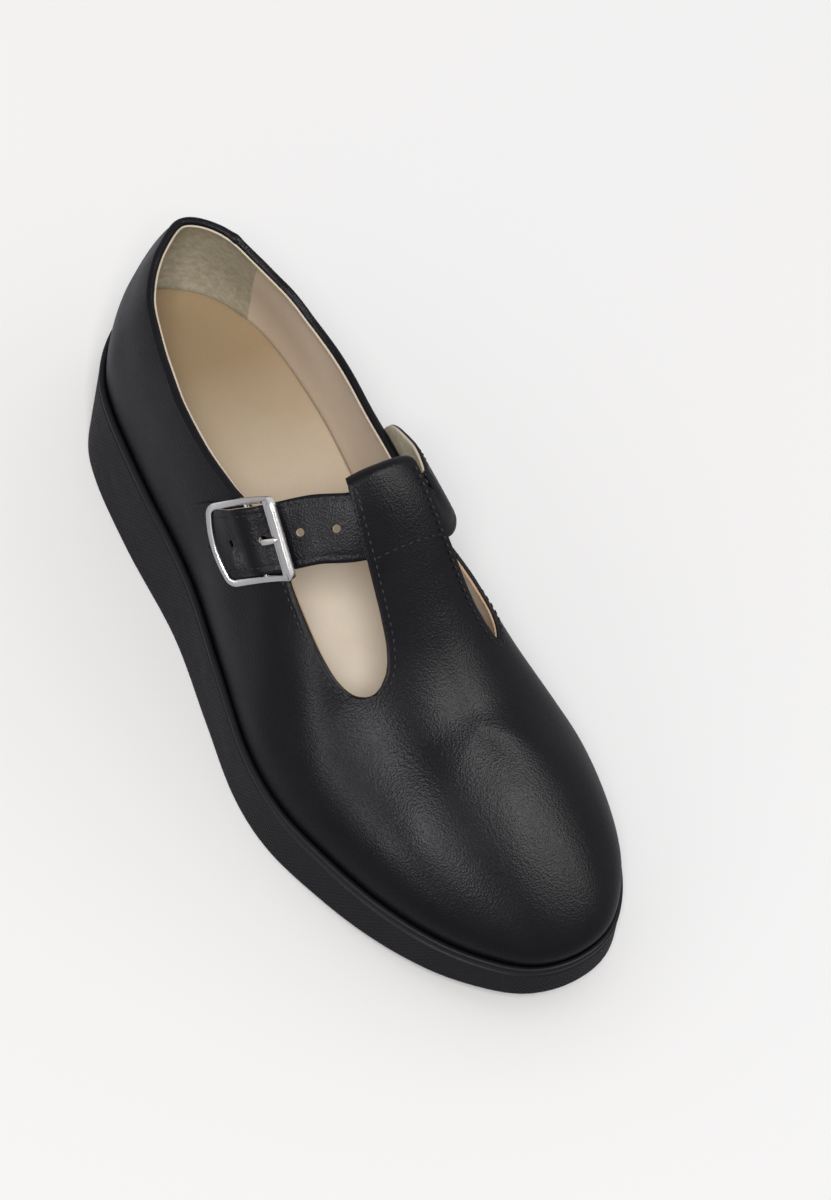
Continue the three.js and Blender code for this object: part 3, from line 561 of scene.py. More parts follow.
# The lining is cream, with a suede heel grip behind a seam. Its own map runs along at and climb.
heelGrip = {
    "end": 0.155, "soft": 0.002, "suede": (0.42, 0.39, 0.29, 1), "suedePale": (0.58, 0.55, 0.45, 1),
}
creamLeather, tree, shader, creamColour = leatherLook("creamLeather", leathers["cream"])
mapped = addNode(tree, "ShaderNodeSeparateXYZ", {0: mapPoint(tree)}).outputs
gripMask = ranged(tree, mapped["X"], heelGrip["end"] + heelGrip["soft"], heelGrip["end"], 0, 1)
suedeNoise = addNode(tree, "ShaderNodeTexNoise", {
    "Vector": objectPoint(tree),
    "Scale": 420.0, "Detail": 4.0, "Roughness": 0.7,
}).outputs["Fac"]
suede = mixColour(tree, ranged(tree, suedeNoise, 0.35, 0.65, 0, 1), heelGrip["suede"], heelGrip["suedePale"])
tree.links.new(mixColour(tree, gripMask, creamColour, suede), shader.inputs["Base Color"])


# Rubber: smooth for the bead and lip, knurled on the wall, and duller underneath.
rubberFeel = {
    "specular": 0.16, "patchScale": 70, "paler": 1.7, "palerShare": 0.5, "bump": 0.25, "bumpDepth": 0.0001,
}


def rubberLook(name, colour, rough, knurled):
    look, tree, shader = newMaterial(name, Specular_IOR_Level=rubberFeel["specular"])
    place = objectPoint(tree)
    patches = addNode(tree, "ShaderNodeGroup", node_tree=patchGroup)
    tree.links.new(place, patches.inputs["Vector"])
    patches.inputs["Scale"].default_value = rubberFeel["patchScale"]
    paler = tuple(part * rubberFeel["paler"] for part in colour[:3]) + (1,)
    amount = math2(tree, "MULTIPLY", patches.outputs["Mask"], rubberFeel["palerShare"])
    tree.links.new(mixColour(tree, amount, colour, paler), shader.inputs["Base Color"])
    tree.links.new(ranged(tree, patches.outputs["Mask"], 0, 1, *rough), shader.inputs["Roughness"])
    if knurled:
        knurl = addNode(tree, "ShaderNodeGroup", node_tree=knurlGroup)
        tree.links.new(mapPoint(tree), knurl.inputs["Vector"])
        knurl.inputs["Pitch"].default_value = knurled["pitch"]
        height, strength, depth = knurl.outputs["Height"], knurled["strength"], knurled["depth"]
    else:
        grain = addNode(tree, "ShaderNodeGroup", node_tree=grainGroup)
        tree.links.new(place, grain.inputs["Vector"])
        height, strength, depth = grain.outputs["Height"], rubberFeel["bump"], rubberFeel["bumpDepth"]
    bump = addNode(tree, "ShaderNodeBump", {"Strength": strength, "Distance": depth, "Height": height})
    tree.links.new(bump.outputs["Normal"], shader.inputs["Normal"])
    return look


knurlWall = {"pitch": 0.0018, "strength": 0.8, "depth": 0.00035}
smoothRubber = rubberLook("smoothRubber", (0.0065, 0.006, 0.0075, 1), (0.42, 0.55), None)
knurlRubber = rubberLook("knurlRubber", (0.0075, 0.007, 0.0085, 1), (0.5, 0.62), knurlWall)
treadRubber = rubberLook("treadRubber", (0.022, 0.021, 0.021, 1), (0.6, 0.75), None)

# Plated metal with the haze of handling.
plating = {"clean": (0.78, 0.77, 0.76, 1), "hazy": (0.7, 0.685, 0.67, 1), "rough": (0.12, 0.24), "scale": 260}
silver, tree, shader = newMaterial("silver", Metallic=1.0)
place = objectPoint(tree)
haze = addNode(tree, "ShaderNodeGroup", node_tree=patchGroup)
tree.links.new(place, haze.inputs["Vector"])
haze.inputs["Scale"].default_value = plating["scale"]
mask = haze.outputs["Mask"]
tree.links.new(ranged(tree, mask, 0, 1, *plating["rough"]), shader.inputs["Roughness"])
tree.links.new(mixColour(tree, mask, plating["clean"], plating["hazy"]), shader.inputs["Base Color"])

# Waxed thread, twisted.
waxed = {"dark": (0.0025, 0.0025, 0.003, 1), "light": (0.006, 0.0055, 0.0065, 1), "rough": (0.45, 0.6)}
thread, tree, shader = newMaterial("thread", Specular_IOR_Level=0.4)
twist = addNode(tree, "ShaderNodeTexWave", {
    "Vector": objectPoint(tree), "Scale": 1800.0, "Distortion": 2.0,
}, bands_direction="DIAGONAL")
strand = twist.outputs["Fac"]
tree.links.new(mixColour(tree, strand, waxed["dark"], waxed["light"]), shader.inputs["Base Color"])
tree.links.new(ranged(tree, strand, 0, 1, *waxed["rough"]), shader.inputs["Roughness"])
print("finishes: ready")

# The sole.
soleSizes = {
    "stations": 360, "edge": 1.4, "wallLean": 0.5, "channelDepth": 0.85, "beadHeight": 2.9,
    "recess": 2.0, "treadBorder": 3.5, "grooveWidth": 2.2, "groovePitch": 8, "grooveDepth": 2,
    "grooveMargin": 16, "acrossTread": 10,
}


def buildSole(s):
    bm = bmesh.new()
    turns = np.linspace(0, 1, s["stations"] + 1)

    def ring(inset, height):
        place = outlineAt(turns, inset)
        return np.column_stack([place, height(place[:, 0])])

    lean = s["wallLean"]
    arc = [math.radians(a) for a in (0, 22, 45, 68, 90)]
    corner = [(s["edge"] * (1 - math.sin(a)), s["edge"] * (1 - math.cos(a))) for a in arc]
    bottom = [(s["treadBorder"], 0), *corner]
    rings = [ring(inset, lambda x, up=up: groundHeight(x) + up) for inset, up in bottom]
    foot, top = rings[-1], ring(lean, lambda x: lipHeight(x) - s["beadHeight"] - 0.9)
    wall = [foot + (top - foot) * u for u in np.linspace(0, 1, 8)]
    lipRows = [
        (lean, -0.75), (lean + s["channelDepth"] * 0.7, -0.55), (lean + s["channelDepth"], -0.25),
        (lean + s["channelDepth"] * 0.8, 0.05), (lean + 0.1, 0.3), (lean - 0.05, 0.65), (lean - 0.05, 1.9),
        (lean + 0.05, 2.4), (lean + 0.3, 2.75), (lean + 0.7, 2.9), (last["lip"] - 0.25, 2.9),
        (last["lip"], 2.7), (last["lip"], 2.9 - s["recess"]),
    ]
    bead = [ring(inset, lambda x, up=up: lipHeight(x) - s["beadHeight"] + up) for inset, up in lipRows]
    lengths = runLengths(foot[:, :2])
    pitch = knurlWall["pitch"]
    runs = lengths / lengths[-1] * round(lengths[-1] * mm / pitch) * pitch
    uvs = np.stack([np.stack([runs, point[:, 2] * mm], -1) for point in wall], 1)
    addSheet(bm, np.stack(rings, 1), material=2)
    addSheet(bm, np.stack(wall, 1), uvs, material=1)
    addSheet(bm, np.stack([wall[-1], *bead], 1), material=0)
    # Underside and the seat under the insole, from the lateral edge to the medial one.
    half = s["stations"] // 2
    across = np.linspace(0, 1, s["acrossTread"] + 1)[None, :, None]
    for edge, look in ((rings[0], 2), (bead[-1], 0)):
        lateral, medial = edge[: half + 1, None], edge[::-1][: half + 1, None]
        addSheet(bm, lateral + (medial - lateral) * across, material=look)
    bmesh.ops.remove_doubles(bm, verts=bm.verts, dist=2e-6)
    bmesh.ops.dissolve_degenerate(bm, edges=bm.edges, dist=1e-7)
    # Cross grooves inside the tread's border.
    count = int((last["length"] - 2 * s["grooveMargin"]) // s["groovePitch"])

    def inField(face):
        centre = face.calc_center_median()
        onGround = centre.z < mm * (groundHeight(centre.x * 1000) + 0.3)
        return face.material_index == 2 and face.normal.z ** 2 > 0.8 and onGround

    for step in range(count + 1):
        x = s["grooveMargin"] - last["setback"] + step * s["groovePitch"]
        for edge in (-1, 1):
            where = x + edge * s["grooveWidth"] / 2
            near = [f for f in bm.faces if abs(f.calc_center_median().x - where * mm) < 0.006 and inField(f)]
            parts = near + list({e for f in near for e in f.edges}) + list({v for f in near for v in f.verts})
            bmesh.ops.bisect_plane(
                bm, geom=parts, plane_co=(where * mm, 0, 0), plane_no=(1, 0, 0), dist=1e-7)
    bm.normal_update()
    border = outlineAt(np.linspace(0, 1, 721), s["treadBorder"] + 0.1)
    strips = []
    for face in bm.faces:
        centre = face.calc_center_median()
        if not inField(face):
            continue
        step = (centre.x * 1000 + last["setback"] - s["grooveMargin"]) / s["groovePitch"]
        offGroove = abs(step - round(step)) * s["groovePitch"]
        inGroove = offGroove < s["grooveWidth"] / 2 and 0 <= round(step) <= count
        beside = np.linalg.norm(border - np.array([centre.x, centre.y]) * 1000, axis=1).min()
        if inGroove and beside > 0.4:
            strips.append(face)
    raised = bmesh.ops.extrude_face_region(bm, geom=strips)["geom"]
    verts = [v for v in raised if isinstance(v, bmesh.types.BMVert)]
    bmesh.ops.translate(bm, verts=verts, vec=(0, 0, s["grooveDepth"] * mm))
    bmesh.ops.delete(bm, geom=strips, context="FACES_ONLY")
    bmesh.ops.recalc_face_normals(bm, faces=bm.faces)
    for face in bm.faces:
        if face.material_index == 2 and abs(face.normal.z) < 0.5:
            face.smooth = False
    newPiece("outsole", bm, [smoothRubber, knurlRubber, treadRubber], "sole")


buildSole(soleSizes)

# The upper and its lining.
upperSizes = {
    "leather": 1.15, "lining": 0.55, "liningGap": 0.05, "footDrop": 1.6, "collarDrop": 1.5,
    "liningDrop": 0.7, "rollAt": 0.4354, "rollOut": 0.0079, "rollRadius": 3.45, "flapEnd": 0.492,
    "flapFrom": 0.4815, "flapRise": 4.6, "bindingEnd": 0.392, "lowerColumns": 30, "upperColumns": 15,
    "toeSeam": 0.66,
}


def sineEnd(low, high, count):
    return low + (high - low) * np.sin(np.linspace(0, math.pi / 2, count))


stations = np.concatenate([
    np.linspace(0, 0.38, 86)[:-1], np.linspace(0.38, 0.4354, 18)[:-1], np.linspace(0.4354, 0.5, 30)[:-1],
    np.linspace(0.5, 0.545, 22)[:-1], sineEnd(0.545, 0.563, 14)[:-1], sineEnd(0.563, 0.5735, 12)[:-1],
    np.linspace(0.5735, 1, 120),
])


def edgeClimbs(side, at, drop):
    cut = cutOuts[side]
    tip = cut["at"][-1]
    seam = (cut["outer"][-1] + cut["inner"][-1]) / 2
    seam = seam + (upperSizes["toeSeam"] - seam) * smoothStep(tip, 1, at)
    top = np.where(at < cut["at"][0], blend(collar, side, at), blend(cut, "outer", at))
    bound = np.clip((upperSizes["bindingEnd"] + 0.012 - at) / 0.01, 0, 1) * drop
    top = climbBelow(side, at, top, bound)
    closed = at >= tip - 1e-9
    return np.where(closed, seam, top), np.where(closed, seam, blend(cut, "inner", at))


def buildUpper(bm, lift, collarDrop, fold, gather=0.0):
    s = upperSizes
    for side in sides:
        flip = side == "medial"
        top, inner = edgeClimbs(side, stations, collarDrop)
        shares = np.linspace(0, 1, s["lowerColumns"]) ** 0.92
        climbs = top[:, None] * shares
        around = aroundAt(side, stations)[:, None]
        edge = (1 - shares)[None, :] * top[:, None] * 95
        inCollar = smoothStep(0.41, 0.38, stations)[:, None]
        points = skin(around, climbs, lift - gather * inCollar * np.exp(-((edge / 2.6) ** 2)))
        foot = points[:, :1] - [0, 0, s["footDrop"]]
        points = np.concatenate([foot, points], 1)
        climbsToFoot = np.concatenate([climbs[:, :1], climbs], 1)
        uvs = np.stack(np.broadcast_arrays(stations[:, None], climbsToFoot), -1)
        addSheet(bm, points, uvs, flip=flip)
        # The T-bar and the vamp's top, with the bar's end rolled down and forwards.
        here = stations >= s["rollAt"] - 1e-9
        ats, lifts = stations[here], np.full(here.sum(), float(lift))
        climbRows = inner[here]
        if fold:
            angles = np.linspace(math.pi, 0, 15)[:-1]
            under = np.linspace(s["flapEnd"], s["rollAt"], 22)[:-1]
            depth = -2 * s["rollRadius"] + s["flapRise"] * smoothStep(s["flapFrom"], s["flapEnd"], under)
            rollAts = s["rollAt"] - s["rollOut"] * np.sin(angles)
            ats = np.concatenate([under, rollAts, ats])
            lifts = np.concatenate([depth, -s["rollRadius"] * (1 - np.cos(angles)), lifts])
            foldClimbs = np.full(len(under) + len(angles), climbRows[0] + 0.002)
            climbRows = np.concatenate([foldClimbs, climbRows])
        climbs = climbRows[:, None] + (1 - climbRows[:, None]) * np.linspace(0, 1, s["upperColumns"])
        squared = squaredAt(side, ats[:, None], climbs)
        points = skin(aroundAt(side, squared), climbs, lifts[:, None]) + standOff(side, ats[:, None], climbs)
        uvs = np.stack(np.broadcast_arrays(ats[:, None], climbs), -1)
        addSheet(bm, points, uvs, flip=flip)
    bmesh.ops.remove_doubles(bm, verts=bm.verts, dist=2e-5)
    bmesh.ops.dissolve_degenerate(bm, edges=bm.edges, dist=1e-6)


bm = bmesh.new()
buildUpper(bm, 0, upperSizes["collarDrop"], True)
upperShell = newPiece("upper_shell", bm, [blackLeather, edgeDyeAndHighlight], "upper")
solidify(upperShell, upperSizes["leather"], 1)

bm = bmesh.new()
liningLift = -upperSizes["leather"] - upperSizes["liningGap"]
buildUpper(bm, liningLift, upperSizes["liningDrop"], False, gather=1.0)
upperLining = newPiece("upper_lining", bm, [creamLeather, rawLeather], "upper")
solidify(upperLining, upperSizes["lining"], 1)

# The collar's rolled binding.
bindingSizes = {
    "radius": 1.3, "end": 0.392, "steps": 160, "points": 16, "depth": 0.9, "wobble": 0.03,
    "joinAt": 0.1, "joinRise": 0.3, "joinLength": 0.008,
}


def buildBinding(s):
    path, radii = [], []
    run = np.linspace(0, s["end"], s["steps"])
    for side, ats in (("lateral", run[::-1]), ("medial", run[1:])):
        climb = climbBelow(side, ats, blend(collar, side, ats), s["radius"])
        path.append(skin(aroundAt(side, ats), climb, -s["depth"]))
        join = 0 * ats
        if side == "medial":
            join = np.exp(-(((ats - s["joinAt"]) / s["joinLength"]) ** 2)) * s["joinRise"]
        radii.append(s["radius"] * (1 + s["wobble"] * np.sin(ats * 90)) + join)
    path, radii = np.concatenate(path), np.concatenate(radii)
    travel = unit(np.gradient(path, axis=0))
    out = unit(np.cross(travel, [0, 0, 1]))
    angles = np.linspace(0, 2 * math.pi, s["points"], endpoint=False)[None, :, None]
    circle = out[:, None] * np.cos(angles) + np.array([0, 0, 1]) * np.sin(angles)
    rings = path[:, None] + radii[:, None, None] * circle
    bm = bmesh.new()
    addSweep(bm, rings)
    closeUp(bm)
    newPiece("collar_piping", bm, [blackLeather], "collar_binding")


buildBinding(bindingSizes)

# The insole.
insoleSizes = {
    "inset": 4.6, "thickness": 4.4, "floorDrop": 1.7, "cupRise": 3.8, "cupLength": 60, "stations": 240,
    "length": 240, "rim": 1.8, "acrossBelow": 13, "acrossTop": 41,
}


def buildInsole(s):
    turns = np.linspace(0, 1, s["stations"] + 1)
    half = s["stations"] // 2

    def level(place, inset):
        top = lipHeight(place[..., 0]) - s["floorDrop"] + s["thickness"]
        hollow = 0.1 * smoothStep(1, 12, inset)
        behind = np.maximum(1 - (place[..., 0] + last["setback"]) / s["cupLength"], 0)
        return top - hollow + s["cupRise"] * behind**1.5 * np.exp(-((inset / 9) ** 1.3))

    rings = []
    for inset, drop in ((0, -4.4), (0, -2.4), (0, -1), (0.12, -0.5), (0.4, -0.15), (0.9, 0), (s["rim"], 0)):
        place = outlineAt(turns, s["inset"] + inset)
        rings.append(np.column_stack([place, level(place, inset) + drop]))
    bm = bmesh.new()
    addSheet(bm, np.stack(rings, 1))
    for edge, count in ((rings[0], s["acrossBelow"]), (rings[-1], s["acrossTop"])):
        lateral, medial = edge[: half + 1, None], edge[::-1][: half + 1, None]
        across = np.linspace(0, 1, count)[None, :, None]
        points = lateral + (medial - lateral) * across
        if count == s["acrossTop"]:
            wide = np.linalg.norm(medial - lateral, axis=-1)
            steps = np.linspace(0, 1, half + 1)
            along = np.minimum(steps, 1 - steps)[:, None] * s["length"]
            fromSide = np.minimum(across[..., 0], 1 - across[..., 0]) * wide
            points[..., 2] = level(points, s["rim"] + np.minimum(fromSide, along))
        addSheet(bm, points)
    closeUp(bm)
    newPiece("insole_sock", bm, [sockLeather], "insole")


buildInsole(insoleSizes)

# The strap.
strapSizes = {
    "width": 20.5, "thickness": 1.8, "holeRadius": 1.25, "holes": (-9.3, 17.1, 28.1), "prongHole": 5.6,
    "barLift": 3.3, "barRow": 16, "rings": 230, "stitchInset": 2.2, "stitchDent": 0.13,
}
# How far the strap's middle lies off the skin: on it, in the bar's fold, over the bar, over the tab.
seat, tunnel, over, overTab = 1.2, -3.6, 6.6, 2.3
strapTable = [
    # side, at, climb, lift, rear, front, twist
    ("medial", 0.36, 0.17, seat + 0.3, 0.9, 1.5, 0), ("medial", 0.373, 0.25, seat + 0.2, 1.1, 1.75, 0),
    ("medial", 0.387, 0.34, seat + 0.2, 1.3, 2.05, 0), ("medial", 0.4, 0.41, seat + 0.4, 1.35, 1.9, 0),
    ("medial", 0.413, 0.48, seat + 1.2, 1.2, 1.5, 0), ("medial", 0.425, 0.545, seat + 1.8, 1.1, 1.15, 0),
    ("medial", 0.4365, 0.6, seat + 2.0, 1, 1, 0), ("medial", 0.4465, 0.645, seat + 1.7, 1, 1, 0),
    ("medial", 0.454, 0.695, tunnel + 5.2, 1, 1, 0), ("medial", 0.4575, 0.76, tunnel + 4.6, 1, 1, 0),
    ("medial", 0.4585, 0.87, tunnel + 3.8, 1, 1, 0), ("lateral", 0.4585, 1, tunnel + 3.1, 1, 1, 0),
    ("lateral", 0.457, 0.84, tunnel + 2.2, 1, 1, 0), ("lateral", 0.4375, 0.65, seat - 2.4, 1, 1, -3),
    ("lateral", 0.4255, 0.545, seat + 0.7, 1, 1, -7), ("lateral", 0.4195, 0.5, over - 1.1, 1, 1, -9),
    ("lateral", 0.4118, 0.452, over, 1, 1, -9), ("lateral", 0.4035, 0.395, over - 1.3, 1, 1, -8),
    ("lateral", 0.3895, 0.3, overTab + 0.8, 1, 1, -4),
    ("lateral", 0.383, 0.26, overTab + 0.6, 0.92, 0.92, -2),
    ("lateral", 0.3795, 0.238, overTab + 0.4, 0.6, 0.6, -2),
]


def bareSkin(side, at, climb, lift):
    around = aroundAt(side, at)
    return skinBase(around, climb) + skinNormal(around, climb) * lift


strapPoints = np.array([bareSkin(*row[:4]) for row in strapTable])
strapNormals = np.array([skinNormal(aroundAt(row[0], row[1]), row[2]) for row in strapTable])


def curveAt(points, t):
    ends = np.vstack([2 * points[0] - points[1], points, 2 * points[-1] - points[-2]])
    p = np.clip(t, 0, 1) * (len(points) - 1)
    i = np.clip(np.floor(p).astype(int), 0, len(points) - 2)
    a, b, c, d = (ends[i + k] for k in range(4))
    gap = lambda s, e: np.maximum(np.sum((e - s) ** 2, -1, keepdims=True) ** 0.25, 1e-4)
    g, h, k = gap(a, b), gap(b, c), gap(c, d)
    m = ((b - a) / g - (c - a) / (g + h) + (c - b) / h) * h
    n = ((c - b) / h - (d - b) / (h + k) + (d - c) / k) * h
    return cubic(b, c, m, n, (p - i)[..., None])


strapOrders = np.linspace(0, 1, 2001)
strapLengths = runLengths(curveAt(strapPoints, strapOrders))
barDistance = strapLengths[strapSizes["barRow"] * 100]


def strapTravel(order):
    return unit(curveAt(strapPoints, order + 1e-4) - curveAt(strapPoints, order - 1e-4))


def skinBend(side, at, climb, order):
    reach = strapSizes["width"] / 2
    here = skinBase(aroundAt(side, at), climb)
    along = skinBase(aroundAt(side, at + 0.01), climb) - here
    up = here - skinBase(aroundAt(side, at), climb - 0.01)
    normal = skinNormal(aroundAt(side, at), climb)
    wide = unit(np.cross(strapTravel(np.array(order)), normal))
    acrossUp, acrossAlong = np.cross(up, normal), np.cross(along, normal)
    forward = wide @ acrossUp / (along @ acrossUp) * 0.01 * reach
    higher = wide @ acrossAlong / (up @ acrossAlong) * 0.01 * reach
    edges = [skinBase(aroundAt(side, at + way * forward), min(climb + way * higher, 1)) for way in (-1, 1)]
    spread = np.linalg.norm(edges[0] - here) * np.linalg.norm(edges[1] - here)
    return (edges[0] + edges[1] - 2 * here) @ normal / spread


rowOrders = np.linspace(0, 1, len(strapTable))
strapWidths = {
    "order": rowOrders,
    "rear": np.array([row[4] for row in strapTable]),
    "front": np.array([row[5] for row in strapTable]),
    "twist": np.array([row[6] for row in strapTable], float),
    "bend": np.array([skinBend(row[0], row[1], row[2], order) for row, order in zip(strapTable, rowOrders)]),
}


# wide points to the heel, outward away from the foot.
def strapFrame(distance):
    order = np.interp(distance, strapLengths, strapOrders)
    travel = strapTravel(order)
    wide = unit(np.cross(travel, curveAt(strapNormals, order)))
    twist = np.radians(blend(strapWidths, "twist", order))[..., None]
    wide = wide * np.cos(twist) + np.cross(travel, wide) * np.sin(twist)
    return curveAt(strapPoints, order), travel, wide, np.cross(wide, travel), order


def strapPlace(distance, across, up):
    point, travel, wide, outward, order = strapFrame(distance)
    half = strapSizes["width"] / 2
    rear, front = blend(strapWidths, "rear", order), blend(strapWidths, "front", order)
    w = across * np.where(across > 0, rear, front) * half
    n = up + blend(strapWidths, "bend", order) / 2 * w * w
    return point + wide * w[..., None] + outward * n[..., None], outward


def buildStrap(s):
    h, half = s["thickness"] / 2, s["width"] / 2
    flat = np.linspace(-1, 1, 29)
    soft = 0.5 / half
    section = []
    dent = lambda w: s["stitchDent"] * math.exp(-(((1 - abs(w)) * half - s["stitchInset"]) / 0.55) ** 2)
    for w in flat[1:-1]:
        section.append((w * (1 - soft), h - dent(w * (1 - soft))))
    section += [(1 - 0.45 * soft, h * 0.88), (1, h * 0.55), (1.0, -0.05), (1, -h * 0.7), (1 - 0.6 * soft, -h)]
    for w in flat[1:-1:3][::-1]:
        section.append((w * (1 - soft), -h))
    section += [
        (-1 + 0.6 * soft, -h), (-1, -h * 0.7), (-1.0, -0.05), (-1, h * 0.55), (-1 + 0.45 * soft, h * 0.88),
    ]
    distances = np.linspace(0, strapLengths[-1], s["rings"])[:, None]
    across = np.array([w for w, n in section])[None, :]
    up = np.array([n for w, n in section])[None, :]
    distances, across, up = np.broadcast_arrays(distances, across, up)
    rings = strapPlace(distances, across, up)[0]
    bm = bmesh.new()
    addSweep(bm, rings)
    # Black on top and down to the middle of the edge, then the raw lower layer.
    points, travel, wide, outward, order = strapFrame(np.linspace(0, strapLengths[-1], s["rings"]))
    bm.normal_update()
    closeUp(bm)
    for face in bm.faces:
        centre = np.array(face.calc_center_median()) * 1000
        i = int(np.argmin(np.sum((points - centre) ** 2, 1)))
        away = centre - points[i]
        w, n = away @ wide[i], away @ outward[i]
        n -= blend(strapWidths, "bend", order[i]) / 2 * w * w
        facing = np.array(face.normal) @ outward[i]
        if facing < -0.75:
            face.material_index = 2
        elif n < -0.06 and facing < 0.3:
            face.material_index = 1
    piece = newPiece("strap_leather", bm, [blackLeather, rawLeather, creamLeather], "strap")
    # Punched holes, one of them under the prong.
    cutter = bmesh.new()
    for distance in (*s["holes"], s["prongHole"]):
        point, travel, wide, outward, order = strapFrame(np.array(barDistance - distance))
        turn = Matrix((wide, travel, outward)).transposed().to_4x4()
        turn.translation = point * mm
        made = len(cutter.faces)
        bmesh.ops.create_cone(cutter, cap_ends=True, segments=24, radius1=s["holeRadius"] * mm,
                              radius2=s["holeRadius"] * mm, depth=0.006, matrix=turn)
        if distance < 0:
            cutter.faces.ensure_lookup_table()
            for face in cutter.faces[made:]:
                face.material_index = 1
    mesh = bpy.data.meshes.new("punch")
    cutter.to_mesh(mesh)
    cutter.free()
    mesh.materials.append(rawLeather)
    mesh.materials.append(blackLeather)
    punch = bpy.data.objects.new("punch", mesh)
    scene.collection.objects.link(punch)
    cut = piece.modifiers.new("punch", "BOOLEAN")
    cut.operation, cut.object, cut.solver, cut.material_mode = "DIFFERENCE", punch, "EXACT", "TRANSFER"
    bpy.context.view_layer.update()
    done = bpy.data.meshes.new_from_object(piece.evaluated_get(bpy.context.evaluated_depsgraph_get()))
    print("strap: punched,", len(piece.data.polygons), "to", len(done.polygons), "faces")
    piece.modifiers.clear()
    piece.data = done
    done.name = "strap_leather"
    bpy.data.objects.remove(punch)


buildStrap(strapSizes)

# The buckle, where e1 points to the T-bar, e2 to the heel and e3 outwards.
buckleSizes = {
    "reach": 13.8, "raiseRear": 2.0, "raiseFront": 2.6, "wireWidth": 2.1, "wireHeight": 1.6, "corner": 2.0,
    "bow": 2.8, "frontWider": 0.6, "frontTaller": 0.4, "sideRoom": 0.7, "wireRound": 0.42,
    "restWidth": 3.4, "restThickness": 0.9, "restBevel": 0.18, "barRadius": 0.8,
    "prongWidth": 1.9, "prongHeight": 1.0, "prongRoom": 0.3, "sleeve": 1.9, "eye": 2.1, "tab": 1.0,
}
_, barTravel, barWide, _, _ = strapFrame(np.array(barDistance))
barSeat = strapTable[strapSizes["barRow"]]
barCentre = bareSkin(barSeat[0], barSeat[1], barSeat[2], strapSizes["barLift"])
buckleAxes = np.array([-barTravel, barWide, np.cross(-barTravel, barWide)])


def inBuckle(points):
    return barCentre + np.asarray(points) @ buckleAxes


def buckleMatrix():
    turn = Matrix(buckleAxes.tolist()).transposed().to_4x4()
    turn.translation = barCentre * mm
    return turn


